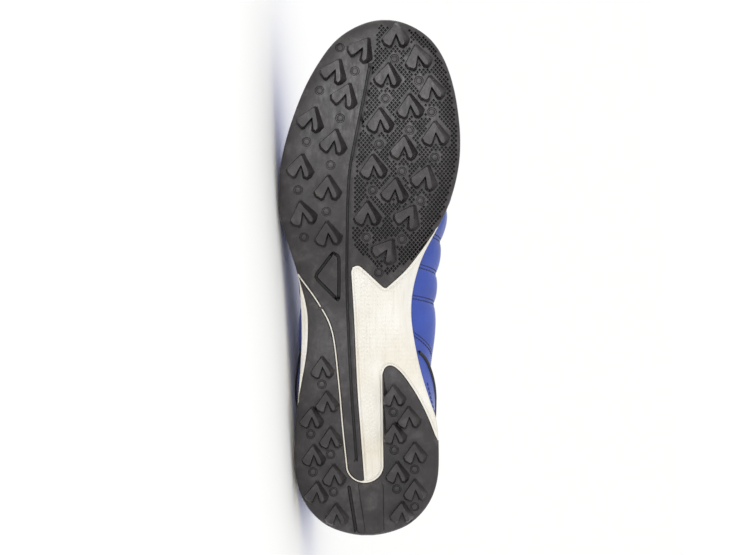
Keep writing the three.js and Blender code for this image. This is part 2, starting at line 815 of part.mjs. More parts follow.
function heelPiping() {
  const low = shiftRun(counterRun, clearance);
  const high = shiftRun(counterRun, clearance + pipingThickness);
  const band = sideCut([...low, ...high.reverse()]).intersect(aboveFeather());
  return outside(quiltShares, clearance, clearance + pipingThickness).intersect(band);
}

// The lace's crossings above the tongue, cut from one layer over the eyestay
function lace() {
  const spots = eyeletSpots();
  const tape = (a, b) => {
    const along = b.clone().sub(a).normalize();
    const aside = new THREE.Vector2(along.y, -along.x).multiplyScalar(laceWidth / 2);
    const from = a.clone().addScaledVector(along, -laceWidth / 4);
    const to = b.clone().addScaledVector(along, laceWidth / 4);
    const corner = (end, sign) => end.clone().addScaledVector(aside, sign);
    return planCut([corner(from, 1), corner(to, 1), corner(to, -1), corner(from, -1)]);
  };
  const at = (spot, sign) => new THREE.Vector2(spot.x, spot.middle + sign * spot.away);
  const bar = tape(at(spots[0], -1), at(spots[0], 1));
  const crossings = spots.slice(1).flatMap((spot, i) => [
    tape(at(spots[i], -1), at(spot, 1)),
    tape(at(spots[i], 1), at(spot, -1)),
  ]);
  const low = eyestayStep + 2 * clearance;
  const lattice = joinAll([bar, ...crossings]).intersect(above(shoulder));
  return outside(layerShares, low, low + laceThickness).intersect(lattice);
}

const group = new THREE.Group();
const weights = [];
function piece(name, solid, colour, roughness, density) {
  const material = new THREE.MeshStandardMaterial({ color: colour, roughness, metalness: 0 });
  const mesh = new THREE.Mesh(geometryOf(solid), material);
  mesh.name = name;
  group.add(mesh);
  weights.push({ mesh, density });
}

piece('outsole_forefoot', outsoleForefoot(), '#2b2a2c', 0.6, rubberDensity);
piece('outsole_heel', outsoleHeel(), '#2c2b2d', 0.6, rubberDensity);
piece('midsole', midsole(), '#efece6', 0.55, foamDensity);
piece('insole', insole(), '#1d1d20', 0.85, foamDensity);
piece('upper', upper(), '#3a52b4', 0.42, leatherDensity);
piece('tongue', tongue(), '#32499f', 0.5, paddingDensity);
piece('heel_counter', heelCounter(), '#3b53b6', 0.4, leatherDensity);
piece('heel_piping', heelPiping(), '#17171a', 0.5, leatherDensity);
piece('lace', lace(), '#222226', 0.8, paddingDensity);

// The centre of mass of all the pieces together
function centreOfMass() {
  const sum = new THREE.Vector3();
  let mass = 0;
  const [a, b, c] = [new THREE.Vector3(), new THREE.Vector3(), new THREE.Vector3()];
  for (const { mesh, density } of weights) {
    const { index, attributes } = mesh.geometry;
    for (let i = 0; i < index.count; i += 3) {
      [a, b, c].forEach((v, k) => v.fromBufferAttribute(attributes.position, index.getX(i + k)));
      const share = (density * a.dot(b.clone().cross(c))) / 6;
      mass += share;
      sum.addScaledVector(a.clone().add(b).add(c), share / 4);
    }
  }
  return sum.divideScalar(mass);
}

// The face that the shoe rests on: the most outward one of its hull with the centre of mass over it
function restingNormal() {
  const points = weights.flatMap(({ mesh }) => {
    const { position } = mesh.geometry.attributes;
    const corner = (_, i) => new THREE.Vector3().fromBufferAttribute(position, i);
    return Array.from({ length: position.count }, corner);
  });
  const hull = new ConvexHull().setFromPoints(points);
  const centre = centreOfMass();
  const holds = (face) => {
    const foot = new THREE.Plane(face.normal, -face.constant).projectPoint(centre, new THREE.Vector3());
    const corners = [face.getEdge(0), face.getEdge(1), face.getEdge(2)].map((edge) => edge.head().point);
    return new THREE.Triangle(...corners).containsPoint(foot);
  };
  const faces = hull.faces.filter(holds).sort((a, b) => a.normal.y - b.normal.y);
  return faces[0].normal.clone();
}

// Lays the shoe on that face with the toe towards -X and the sole towards -Y, over the origin.
function layDown() {
  const down = restingNormal();
  const lay = new THREE.Quaternion().setFromUnitVectors(down, new THREE.Vector3(0, 0, -1));
  const toe = new THREE.Vector3(1, 0, 0).applyQuaternion(lay);
  const yaw = Math.PI - Math.atan2(toe.y, toe.x);
  const turn = new THREE.Quaternion().setFromAxisAngle(new THREE.Vector3(0, 0, 1), yaw).multiply(lay);
  const box = new THREE.Box3();
  for (const { mesh } of weights) {
    mesh.geometry.applyQuaternion(turn);
    mesh.geometry.computeBoundingBox();
    box.union(mesh.geometry.boundingBox);
  }
  const middle = box.getCenter(new THREE.Vector3());
  for (const { mesh } of weights) mesh.geometry.translate(-middle.x, -middle.y, -box.min.z);
}

layDown();
export default group;
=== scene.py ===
import bmesh
import bpy
import json
import math
import numpy as np
from mathutils import Matrix, Vector
from mathutils.bvhtree import BVHTree
from mathutils.geometry import delaunay_2d_cdt


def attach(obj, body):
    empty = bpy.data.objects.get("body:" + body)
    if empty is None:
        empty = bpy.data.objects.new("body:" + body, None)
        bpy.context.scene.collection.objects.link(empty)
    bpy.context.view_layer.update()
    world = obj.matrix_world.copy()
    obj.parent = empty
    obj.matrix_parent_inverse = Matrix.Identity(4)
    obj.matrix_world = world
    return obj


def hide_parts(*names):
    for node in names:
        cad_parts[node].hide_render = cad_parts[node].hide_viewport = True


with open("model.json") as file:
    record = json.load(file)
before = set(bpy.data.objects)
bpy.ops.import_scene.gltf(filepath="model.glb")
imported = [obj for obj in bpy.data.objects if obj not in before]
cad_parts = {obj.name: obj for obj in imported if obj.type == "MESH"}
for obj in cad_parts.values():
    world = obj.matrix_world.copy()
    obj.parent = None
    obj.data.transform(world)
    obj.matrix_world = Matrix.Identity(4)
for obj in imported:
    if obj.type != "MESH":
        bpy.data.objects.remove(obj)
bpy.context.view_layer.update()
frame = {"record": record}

# The shoe's own frame is in millimetres: x from heel to toe, y to the inner side, z up from the lug tips.
# Shares along are of the length, and shares across are of the local width.
shoe = {
    "length": 290.0, "ballWidth": 101.4, "heelWidth": 80.5,
    "heelStack": 20.0, "ballStack": 11.5, "toeSpring": 13.0, "archRise": 4.5, "heelBevel": 4.0,
    "lugHeight": 5.0, "instepHeight": 98.0, "toeBoxHeight": 57.0, "collarHeight": 89.0, "counterHeight": 52.5,
    "throatWidth": 26.0, "tongueWidth": 48.0, "eyestayWidth": 17.0, "featherInset": 2.2, "clearance": 0.3,
    "edgeRoll": 2.0, "archRoll": 6.0, "rollWidth": 11.0,
    "widestRise": 10.0, "sideRise": 4.0, "archBulge": 6.0,
    "heelTread": (57.29, -20.3665, 0.5), "ballTread": (197.254, -22.0849, 0.0),
}


# The camera

def turnBetween(fromAxes, toAxes):
    return np.array(toAxes).T @ np.array(fromAxes)


def axesOf(along, up):
    up = np.array(up) / np.linalg.norm(up)
    along = np.array(along) - np.dot(along, up) * up
    along /= np.linalg.norm(along)
    return [along, np.cross(up, along), up]


# How the shoe's own frame lies on the floor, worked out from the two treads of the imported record
mounts = {mount["name"]: mount for mount in frame["record"]["mounts"]}
heelPlace = np.array(mounts["heel_tread"]["pos_m"])
ballPlace = np.array(mounts["ball_tread"]["pos_m"])
soleOutward = np.array(mounts["heel_tread"]["axis"])
heelTread, ballTread = np.array(shoe["heelTread"]), np.array(shoe["ballTread"])
shoeTurn = turnBetween(axesOf(ballTread - heelTread, (0, 0, 1)), axesOf(ballPlace - heelPlace, -soleOutward))


def toWorld(points):
    return (np.asarray(points, float) - heelTread) @ shoeTurn.T / 1000 + heelPlace


def makeCamera():
    look = {
        "leanToInside": 0.0,       # degrees off the sole's own direction
        "distance": 1.8,
        "metresAcross": 0.419,     # the frame's width at the shoe
        "aim": (144.7, 4.5, 5.0),  # in the shoe's frame
    }
    lean = math.radians(look["leanToInside"])
    back = Vector(shoeTurn @ np.array((0.0, math.sin(lean), -math.cos(lean))))
    up = Vector(shoeTurn @ np.array((1.0, 0.0, 0.0)))   # the toe points up in the picture
    right = up.cross(back)
    data = bpy.data.cameras.new("camera")
    data.sensor_width = 36
    data.lens = data.sensor_width * look["distance"] / look["metresAcross"]
    eye = bpy.data.objects.new("camera", data)
    bpy.context.scene.collection.objects.link(eye)
    turn = Matrix((right, up, back)).transposed().to_4x4()
    aim = Vector(toWorld([look["aim"]])[0])
    eye.matrix_world = Matrix.Translation(aim + back * look["distance"]) @ turn
    bpy.context.scene.camera = eye


makeCamera()
print("camera set")


# Colour and nodes

def fromHex(code):
    parts = [int(code[i:i + 2], 16) / 255 for i in (1, 3, 5)]
    return tuple(p / 12.92 if p <= 0.04045 else ((p + 0.055) / 1.055) ** 2.4 for p in parts) + (1.0,)


def addNode(tree, kind, settings=None, links=None):
    node = tree.nodes.new(kind)
    for key, value in (settings or {}).items():
        if key == "stops":   # places and colours of a ramp
            elements = node.color_ramp.elements
            while len(elements) < len(value):
                elements.new(0.5)
            for element, (place, code) in zip(elements, value):
                element.position = place
                element.color = fromHex(code)
        elif isinstance(key, int) or key in node.inputs:
            node.inputs[key].default_value = value
        else:
            setattr(node, key, value)
    for key, source in (links or {}).items():
        tree.links.new(source, node.inputs[key])
    return node


def newMaterial(name, surface):
    material = bpy.data.materials.new(name)
    material.use_nodes = True
    tree = material.node_tree
    tree.nodes.clear()
    shader = addNode(tree, "ShaderNodeBsdfPrincipled", surface)
    addNode(tree, "ShaderNodeOutputMaterial", None, {"Surface": shader.outputs[0]})
    return material, tree, shader


# steps: label, kind of node, settings, and the earlier labels that feed its inputs
# ends: which labels feed the shader. relief: label, distance in metres, strength
# a label with an output's name or number stands where it isn't the node's first output
def patternedMaterial(name, surface, steps, ends, relief):
    material, tree, shader = newMaterial(name, surface)
    # patterns are laid out in the shoe's own frame, in millimetres
    turn = Matrix(shoeTurn.T.tolist()).to_euler()
    shift = heelTread - shoeTurn.T @ heelPlace * 1000
    place = addNode(tree, "ShaderNodeTexCoord")
    made = {"spot": addNode(tree, "ShaderNodeMapping", {
        "Rotation": turn, "Scale": (1000, 1000, 1000), "Location": shift.tolist(),
    }, {"Vector": place.outputs["Object"]})}

    def outputOf(source):
        label, output = source if isinstance(source, tuple) else (source, 0)
        return made[label].outputs[output]

    for label, kind, settings, links in steps:
        sources = {key: outputOf(source) for key, source in links.items()}
        made[label] = addNode(tree, "ShaderNode" + kind, settings, sources)
    for key, source in ends.items():
        tree.links.new(outputOf(source), shader.inputs[key])
    below = {}
    for source, distance, strength in relief:
        bump = addNode(tree, "ShaderNodeBump", {"Distance": distance, "Strength": strength},
                       {"Height": outputOf(source), **below})
        below = {"Normal": bump.outputs[0]}
    tree.links.new(bump.outputs[0], shader.inputs["Normal"])
    return material


def mouldedRubber(name, look):
    # Carbon-black rubber from a polished mould: dark, with a soft skin gloss and faint cloudy bloom
    return patternedMaterial(name, {"IOR": 1.5}, [
        ("cloud", "TexNoise", {"Scale": 1 / look["cloud"], "Detail": 5.0, "Roughness": 0.65},
         {"Vector": "spot"}),
        ("colour", "ValToRGB", {"stops": [(0.3, look["dark"]), (0.52, look["mid"]), (0.78, look["bloom"])]},
         {"Fac": "cloud"}),
        ("drawn", "VectorMath", {"operation": "MULTIPLY", 1: (0.35, 1.0, 1.0)}, {0: "spot"}),
        ("scuff", "TexNoise", {"Scale": 1 / 2.2, "Detail": 6.0, "Roughness": 0.7}, {"Vector": "drawn"}),
        ("gloss", "MapRange", {"From Min": 0.3, "From Max": 0.7, "To Min": look["roughness"] - 0.1,
                               "To Max": look["roughness"] + 0.12}, {"Value": "scuff"}),
        # the mould's spark-eroded grain, about 0.1 mm, drawn at 0.5 mm
        ("grain", "TexNoise", {"Scale": 1 / look["grain"], "Detail": 2.0, "Roughness": 0.55},
         {"Vector": "spot"}),
        ("ripple", "TexNoise", {"Scale": 1 / 5.0, "Detail": 2.0, "Roughness": 0.55}, {"Vector": "spot"}),
    ], {"Base Color": "colour", "Roughness": "gloss"},
        [("grain", 0.00012, 0.35), ("scuff", 0.0002, 0.25), ("ripple", 0.0006, 0.25)])


def mouldedFoam():
    # Compression-moulded EVA: a matt, warm white skin, fine flow lines along the shoe, faint rows of pips
    look = {"warm": "#dcd8d0", "pale": "#e4e1da", "cool": "#dcdad3", "line": 1.9, "pip": 2.4,
            "roughness": 0.62}
    return patternedMaterial("mouldedFoam", {"IOR": 1.45, "Roughness": look["roughness"]}, [
        ("drawn", "VectorMath", {"operation": "MULTIPLY", 1: (0.05, 1.0, 1.0)}, {0: "spot"}),
        ("lines", "TexNoise", {"Scale": 1 / look["line"], "Detail": 4.0, "Roughness": 0.7},
         {"Vector": "drawn"}),
        ("cloud", "TexNoise", {"Scale": 1 / 30.0, "Detail": 2.0, "Roughness": 0.55}, {"Vector": "spot"}),
        ("tone", "ValToRGB", {"stops": [(0.32, look["warm"]), (0.5, look["pale"]), (0.72, look["cool"])]},
         {"Fac": "lines"}),
        ("wide", "ValToRGB", {"stops": [(0.35, "#ffffff"), (0.7, "#f3efe6")]}, {"Fac": "cloud"}),
        ("colour", "Mix", {"data_type": "RGBA", "blend_type": "MULTIPLY", 0: 1.0}, {6: "tone", 7: "wide"}),
        ("squeezed", "VectorMath", {"operation": "MULTIPLY", 1: (1.0, 1.6, 0.3)}, {0: "spot"}),
        ("pips", "TexVoronoi", {"Scale": 1 / look["pip"], "Randomness": 0.15}, {"Vector": "squeezed"}),
        ("dots", "MapRange", {"From Min": 0.1, "From Max": 0.35, "To Min": 1, "To Max": 0},
         {"Value": "pips"}),
        ("fine", "TexNoise", {"Scale": 1 / 0.7, "Detail": 2.0, "Roughness": 0.55}, {"Vector": "spot"}),
    ], {"Base Color": ("colour", 2)},
        [("lines", 0.0005, 0.35), ("dots", 0.0006, 0.35), ("fine", 0.0001, 0.4)])


def coatedLeather(name, look):
    # Split leather under a thin polyurethane film, embossed with a fine pebble: even blue, soft satin sheen
    surface = {"IOR": 1.48, "Coat Weight": 0.12, "Coat Roughness": 0.35, "Sheen Weight": 0.08,
               "Sheen Roughness": 0.5}
    return patternedMaterial(name, surface, [
        ("cloud", "TexNoise", {"Scale": 1 / 18.0, "Detail": 4.0, "Roughness": 0.6}, {"Vector": "spot"}),
        ("colour", "ValToRGB", {"stops": [(0.3, look["deep"]), (0.55, look["blue"]), (0.8, look["light"])]},
         {"Fac": "cloud"}),
        # the emboss is 0.4 mm, drawn at 0.9 mm
        ("pebble", "TexVoronoi", {"Scale": 1 / look["pebble"], "Randomness": 1.0}, {"Vector": "spot"}),
        ("gloss", "MapRange", {"From Min": 0.0, "From Max": 0.8, "To Min": look["roughness"] + 0.06,
                               "To Max": look["roughness"] - 0.05}, {"Value": "pebble"}),
        ("drawn", "VectorMath", {"operation": "MULTIPLY", 1: (1.0, 1.0, 0.4)}, {0: "spot"}),
        ("folds", "TexNoise", {"Scale": 1 / 3.2, "Detail": 4.0, "Roughness": 0.6}, {"Vector": "drawn"}),
        ("fine", "TexNoise", {"Scale": 1 / 0.4, "Detail": 2.0, "Roughness": 0.55}, {"Vector": "spot"}),
    ], {"Base Color": "colour", "Roughness": "gloss"},
        [("pebble", 0.00022, 0.3), ("folds", 0.0005, 0.22), ("fine", 0.00006, 0.4)])


def spunThread():
    # Three-ply bonded polyester: dark navy with the ply's slanting ridges
    look = {"dark": "#0d1233", "light": "#20295e", "ply": 0.5}
    return patternedMaterial("spunThread", {"Roughness": 0.55, "IOR": 1.5}, [
        ("ply", "TexWave", {"bands_direction": "DIAGONAL", "Scale": waveShare / look["ply"]},
         {"Vector": "spot"}),
        ("colour", "ValToRGB", {"stops": [(0.1, look["dark"]), (0.9, look["light"])]},
         {"Fac": ("ply", "Fac")}),
    ], {"Base Color": "colour"}, [(("ply", "Fac"), 0.0001, 0.6)])


def foldedTrim():
    # Black polyurethane tape folded over a cord: satin, with small creases from the turn
    look = {"dark": "#0c0c0e", "light": "#1a1a1d", "crease": 1.4}
    return patternedMaterial("foldedTrim", {"Roughness": 0.42, "IOR": 1.5, "Coat Weight": 0.1}, [
        ("crease", "TexNoise", {"Scale": 1 / look["crease"], "Detail": 4.0, "Roughness": 0.55},
         {"Vector": "spot"}),
        ("colour", "ValToRGB", {"stops": [(0.3, look["dark"]), (0.75, look["light"])]}, {"Fac": "crease"}),
    ], {"Base Color": "colour"}, [("crease", 0.0003, 0.4)])


def wovenTape():
    # Flat lace woven from textured polyester: black ribs slanting both ways, dry and slightly furry
    look = {"dark": "#08080a", "light": "#232327", "rib": 0.9, "slant": 0.8}   # 0.4 mm yarn, drawn at 0.9
    steps = []
    for label, slant in (("left", look["slant"]), ("right", -look["slant"])):
        steps += [(label + "Turn", "VectorRotate", {"Angle": slant, "Axis": (0, 0, 1)}, {"Vector": "spot"}),
                  (label, "TexWave", {"bands_direction": "X", "Scale": waveShare / look["rib"]},
                   {"Vector": label + "Turn"})]
    steps += [("weave", "Math", {"operation": "MULTIPLY"}, {0: ("left", "Fac"), 1: ("right", "Fac")}),
              ("colour", "ValToRGB", {"stops": [(0.0, look["dark"]), (0.8, look["light"])]},
               {"Fac": "weave"})]
    surface = {"Roughness": 0.82, "Sheen Weight": 0.25, "Sheen Roughness": 0.5}
    return patternedMaterial("wovenTape", surface, steps, {"Base Color": "colour"}, [("weave", 0.0004, 0.7)])


def knittedLining():
    # Warp-knitted polyester over thin foam: black, with a close mesh of small loops
    look = {"dark": "#060607", "light": "#1b1b1e", "loop": 1.3}   # loops of 0.7 mm, drawn at 1.3 mm
    surface = {"Roughness": 0.9, "Sheen Weight": 0.3, "Sheen Roughness": 0.6}
    return patternedMaterial("knittedLining", surface, [
        ("squeezed", "VectorMath", {"operation": "MULTIPLY", 1: (1.0, 1.3, 1.3)}, {0: "spot"}),
        ("loops", "TexVoronoi", {"Scale": 1 / look["loop"], "Randomness": 0.2}, {"Vector": "squeezed"}),
        ("colour", "ValToRGB", {"stops": [(0.1, look["light"]), (0.6, look["dark"])]}, {"Fac": "loops"}),
    ], {"Base Color": "colour"}, [("loops", 0.0005, 0.6)])


waveShare = 0.314   # turns a band's width in millimetres into the wave pattern's scale
rubber = mouldedRubber("mouldedRubber", {"dark": "#201d1e", "mid": "#2e2a2b", "bloom": "#4d4849",
                                         "cloud": 9.0, "grain": 0.5, "roughness": 0.42})
# the same rubber painted near-black down in the pits and grooves: painted shade
pitShadeRubber = mouldedRubber("pitShadeRubber", {"dark": "#0b0a0a", "mid": "#121011", "bloom": "#1a1819", "cloud": 9.0,
                                        "grain": 0.5, "roughness": 0.55})
foam = mouldedFoam()
leather = coatedLeather("coatedLeather", {"deep": "#1f3b94", "blue": "#2443a1", "light": "#2c4caa",
                                          "pebble": 0.9, "roughness": 0.42})
tongueLeather = coatedLeather("tongueLeather", {"deep": "#1f3788", "blue": "#243e95", "light": "#2b479e",
                                                "pebble": 0.9, "roughness": 0.48})
thread = spunThread()
blackTrim = foldedTrim()
laceCloth = wovenTape()
liningCloth = knittedLining()
print("materials made")


# Curves and tables of the last

def smoothStep(t):
    c = np.clip(t, 0, 1)
    return c * c * (3 - 2 * c)


def blend(a, b, t):
    return a + (b - a) * t


def reader(rows, column, squared=False):
    x = np.array([row[0] for row in rows], float)
    y = np.array([row[column] for row in rows], float) ** (2 if squared else 1)
    last = len(x) - 1
    before = np.maximum(np.arange(last + 1) - 1, 0)
    after = np.minimum(np.arange(last + 1) + 1, last)
    slope = (y[after] - y[before]) / (x[after] - x[before])

    def at(s):
        s = np.clip(s, x[0], x[-1])
        i = np.clip(np.searchsorted(x, s, side="right") - 1, 0, last - 1)
        step = x[i + 1] - x[i]
        t = (s - x[i]) / step
        value = ((2 * t ** 3 - 3 * t ** 2 + 1) * y[i] + (t ** 3 - 2 * t ** 2 + t) * step * slope[i]
                 + (3 * t ** 2 - 2 * t ** 3) * y[i + 1] + (t ** 3 - t ** 2) * step * slope[i + 1])
        return np.sqrt(np.maximum(0, value)) if squared else value
    return at


# The sole from above: along, centre, half
soleRows = [
    (0.0, 0.0, 0.0), (0.025, 0.0, 0.306), (0.065, 0.0, 0.434), (0.105, 0.0, 0.487), (0.15, -0.002, 0.502),
    (0.22, -0.003, 0.49), (0.26, -0.021, 0.461), (0.3, -0.039, 0.433), (0.34, -0.052, 0.406),
    (0.38, -0.062, 0.38), (0.42, -0.069, 0.359), (0.46, -0.068, 0.35), (0.5, -0.06, 0.355),
    (0.54, -0.055, 0.38), (0.58, -0.043, 0.419), (0.62, -0.026, 0.456), (0.67, -0.003, 0.483),
    (0.72, 0.017, 0.492), (0.77, 0.036, 0.479), (0.82, 0.053, 0.45), (0.87, 0.069, 0.408),
    (0.92, 0.085, 0.344), (0.96, 0.093, 0.262), (1.0, 0.1, 0.0),
]
# The upper at its widest, from above: along, centre, half
upperRows = [
    (0.014, 0.0, 0.0), (0.05, 0.0, 0.292), (0.1, 0.0, 0.379), (0.15, 0.0, 0.418), (0.2, 0.004, 0.447),
    (0.26, -0.008, 0.468), (0.32, -0.012, 0.46), (0.38, -0.004, 0.445), (0.42, 0.003, 0.431),
    (0.48, 0.006, 0.41), (0.53, 0.008, 0.405), (0.57, 0.004, 0.413), (0.61, -0.002, 0.434),
    (0.66, -0.003, 0.458), (0.7, 0.0, 0.468), (0.75, 0.018, 0.465), (0.8, 0.037, 0.446),
    (0.85, 0.054, 0.409), (0.9, 0.076, 0.353), (0.94, 0.094, 0.286), (0.97, 0.103, 0.202),
    (0.987, 0.105, 0.0),
]
# The upper's ridge: along, where its rib meets it, height, shift, taper
ridgeRows = [
    (0.0, 0.155, 1.5, 0.0, 0.6), (0.15, 0.2, 1.48, 0.0, 0.6), (0.31, 0.31, 1.4, 0.0, 0.62),
    (0.38, 0.375, 1.2, 0.01, 0.8), (0.45, 0.445, 1.02, 0.02, 1.08), (0.52, 0.52, 0.83, 0.03, 1.26),
    (0.59, 0.59, 0.61, 0.035, 1.3), (0.66, 0.66, 0.415, 0.035, 1.22), (0.72, 0.715, 0.26, 0.03, 1.1),
    (0.79, 0.77, 0.14, 0.025, 1.0), (0.86, 0.815, 0.06, 0.015, 0.9), (1.0, 0.855, 0.0, 0.0, 0.8),
]
topRows = [
    (-0.035, 1.006), (0.028, 1.0), (0.055, 0.983), (0.097, 0.933), (0.145, 0.882), (0.193, 0.854),
    (0.241, 0.865), (0.29, 0.927), (0.334, 1.028), (0.369, 1.124), (0.383, 1.169),
]
throatRows = [(0.338, 0.5), (0.407, 0.48), (0.517, 0.44), (0.614, 0.385), (0.648, 0.31), (0.662, 0.17)]
tongueRows = [(0.317, 0.42), (0.338, 0.49), (0.414, 0.5), (0.517, 0.44), (0.621, 0.355), (0.662, 0.31),
              (0.679, 0.25)]
counterRows = [
    (-0.02, 1.0), (0.083, 0.98), (0.152, 0.933), (0.216, 0.83), (0.269, 0.705), (0.315, 0.6),
    (0.3465, 0.505), (0.3635, 0.38),
]
seamRows = [
    (0.348, 0.75), (0.448, 0.22), (0.5065, 0.28), (0.5695, 0.28), (0.632, 0.16), (0.69, 0.1), (0.748, 0.05),
]

soleCentre, soleHalf = reader(soleRows, 1), reader(soleRows, 2, squared=True)
upperCentre, upperHalf = reader(upperRows, 1), reader(upperRows, 2, squared=True)
ridgeMeet, ridgeHeight, ridgeShift, ridgeTaper = [reader(ridgeRows, column) for column in (1, 2, 3, 4)]


def widthAt(s):
    return shoe["heelWidth"] + (shoe["ballWidth"] - shoe["heelWidth"]) * smoothStep((s - 0.3) / 0.35)


def onSole(rows):
    rows = np.array(rows, float)
    return np.column_stack([rows[:, 0] * shoe["length"], rows[:, 1] * widthAt(rows[:, 0])])


def toeCurve(s):
    return np.maximum(0, (s - 0.68) / 0.32) ** 2


def archCurve(s):
    return np.cos(math.pi * np.minimum(0.5, np.abs((s - 0.45) / 0.36))) ** 2


def heelCurve(s):
    return np.maximum(0, 1 - s / 0.09) ** 2


def undersideAt(x, y):
    s = x / shoe["length"]
    across = y - soleCentre(s) * widthAt(s)
    within = soleHalf(s) * widthAt(s) - np.abs(across)
    roll = np.clip(1 - within / shoe["rollWidth"], 0, 1) ** 2
    height = shoe["edgeRoll"] + np.where(across > 0, shoe["archRoll"] * archCurve(s), 0)
    rise = shoe["toeSpring"] * toeCurve(s) + shoe["heelBevel"] * heelCurve(s)
    rise = rise + shoe["archRise"] * archCurve(s)
    return shoe["lugHeight"] + rise + height * roll


def biteAt(x):
    s = x / shoe["length"]
    stack = blend(shoe["heelStack"], shoe["ballStack"], smoothStep((s - 0.18) / 0.5))
    rounding = shoe["heelBevel"] * 0.5 * heelCurve(s)
    return shoe["lugHeight"] + stack + shoe["toeSpring"] * toeCurve(s) + rounding


# Plan outlines and how they are cut into triangles

def smoothRun(points, count):
    points = np.asarray(points, float)
    n = len(points) - 1
    before = np.vstack([2 * points[0] - points[1], points])
    padded = np.vstack([before, 2 * points[-1] - points[-2]])
    t = np.linspace(0, n, count + 1)
    i = np.minimum(t.astype(int), n - 1)
    f = (t - i)[:, None]
    a, b, c, d = padded[i], padded[i + 1], padded[i + 2], padded[i + 3]
    squares, cubes = 2 * a - 5 * b + 4 * c - d, 3 * b - a - 3 * c + d
    return 0.5 * (2 * b + (c - a) * f + squares * f ** 2 + cubes * f ** 3)


def shiftRun(points, by, closed=False):
    after, before = np.roll(points, -1, 0), np.roll(points, 1, 0)
    if not closed:
        after[-1], before[0] = points[-1], points[0]
    along = after - before
    along /= np.linalg.norm(along, axis=1)[:, None] + 1e-12
    return points + np.column_stack([along[:, 1], -along[:, 0]]) * by


def anticlockwise(points):
    x, y = points[:, 0], points[:, 1]
    area = np.sum(x * np.roll(y, -1) - np.roll(x, -1) * y)
    return points if area > 0 else points[::-1]


def stations(count, end):
    even = np.linspace(0, 1, count + 1)
    return blend(end, 1 - end, blend(even, (1 - np.cos(math.pi * even)) / 2, 0.75))


def soleLoop(inset, count=150):
    s = stations(count, 0.0004)
    sides = [np.column_stack([s * shoe["length"], (soleCentre(s) + sign * soleHalf(s)) * widthAt(s)])
             for sign in (-1, 1)]
    return shiftRun(np.vstack([sides[0], sides[1][::-1]]), -inset, closed=True)


def isInside(points, loop):
    x, y = points[:, 0, None], points[:, 1, None]
    after = np.roll(loop, -1, 0)
    crosses = (loop[:, 1] > y) != (after[:, 1] > y)
    rise = np.where(after[:, 1] == loop[:, 1], 1, after[:, 1] - loop[:, 1])
    at = (after[:, 0] - loop[:, 0]) * (y - loop[:, 1]) / rise + loop[:, 0]
    return (crosses & (x < at)).sum(1) % 2 == 1


def distanceTo(points, run, closed=True):
    a = run if closed else run[:-1]
    b = np.roll(run, -1, 0) if closed else run[1:]
    best = np.full(len(points), 1e9)
    for p, q in zip(a, b):
        along = q - p
        t = np.clip(((points - p) @ along) / (along @ along + 1e-12), 0, 1)
        best = np.minimum(best, np.hypot(*(points - p - t[:, None] * along).T))
    return best


def triangulate(runs, spots, keep):
    corners, edges, levels = [], [], []
    for run, level, closed in runs:
        first, n = len(corners), len(run)
        corners += [Vector(p) for p in run]
        levels += [level] * n
        edges += [(first + i, first + (i + 1) % n) for i in range(n if closed else n - 1)]
    for spot, level in spots:
        corners.append(Vector(spot))
        levels.append(level)
    out = delaunay_2d_cdt(corners, edges, [], 0, 1e-4)
    plan = np.array([v[:] for v in out[0]])
    faces = np.array(out[2])
    faces = faces[keep(plan[faces].mean(axis=1))]
    given = np.array([v[:] for v in corners])
    level = np.zeros(len(plan))
    for i, origin in enumerate(out[3]):
        if origin:
            level[i] = levels[origin[0]]
        else:
            level[i] = levels[int(np.argmin(np.hypot(*(given - plan[i]).T)))]
    used = np.unique(faces)
    order = np.full(len(plan), -1)
    order[used] = np.arange(len(used))
    return plan[used], order[faces], level[used]


def rimOf(faces):
    seen = {}
    for face in faces:
        for a, b in zip(face, np.roll(face, -1)):
            seen[(int(a), int(b))] = True
    return [edge for edge in seen if (edge[1], edge[0]) not in seen]


def plateSolid(plan, faces, low, high, sideRows):
    n = len(plan)
    rim = rimOf(faces)
    after = dict(rim)
    before = {b: a for a, b in rim}
    points = [np.column_stack([plan, low])]
    solid = [tuple(int(i) for i in face[::-1]) for face in faces]
    edgePoints = sorted(after)
    place = {i: k for k, i in enumerate(edgePoints)}
    along = np.array([plan[after[i]] - plan[before[i]] for i in edgePoints])
    along /= np.linalg.norm(along, axis=1)[:, None] + 1e-12
    outward = np.column_stack([along[:, 1], -along[:, 0]])
    rows = [edgePoints]
    total = n
    for up, out in sideRows:
        spot = plan[edgePoints] + outward * out
        height = blend(low[edgePoints], high[edgePoints], up)
        points.append(np.column_stack([spot, height]))
        rows.append([total + k for k in range(len(edgePoints))])
        total += len(edgePoints)
    top = np.column_stack([plan, high])
    points.append(top)
    rows.append([total + i for i in edgePoints])
    solid += [tuple(int(i) + total for i in face) for face in faces]
    for lower, upper in zip(rows[:-1], rows[1:]):
        for a, b in rim:
            i, j = place[a], place[b]
            solid.append((lower[i], lower[j], upper[j], upper[i]))
    return np.vstack(points), solid


def makePiece(name, points, faces, material, sharpAngle=38, weld=False, fixNormals=False):
    mesh = bpy.data.meshes.new(name)
    mesh.from_pydata(toWorld(points).tolist(), [], [tuple(int(i) for i in face) for face in faces])
    if weld or fixNormals:
        work = bmesh.new()
        work.from_mesh(mesh)
        if weld:
            bmesh.ops.remove_doubles(work, verts=work.verts, dist=0.00003)
        if fixNormals:
            bmesh.ops.recalc_face_normals(work, faces=work.faces)
        work.to_mesh(mesh)
        work.free()
    mesh.validate()
    mesh.shade_smooth()
    mesh.set_sharp_from_angle(angle=math.radians(sharpAngle))
    mesh.materials.append(material)
    piece = bpy.data.objects.new(name, mesh)
    bpy.context.scene.collection.objects.link(piece)
    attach(piece, "root")
    return piece


# Where the two rubber pieces end

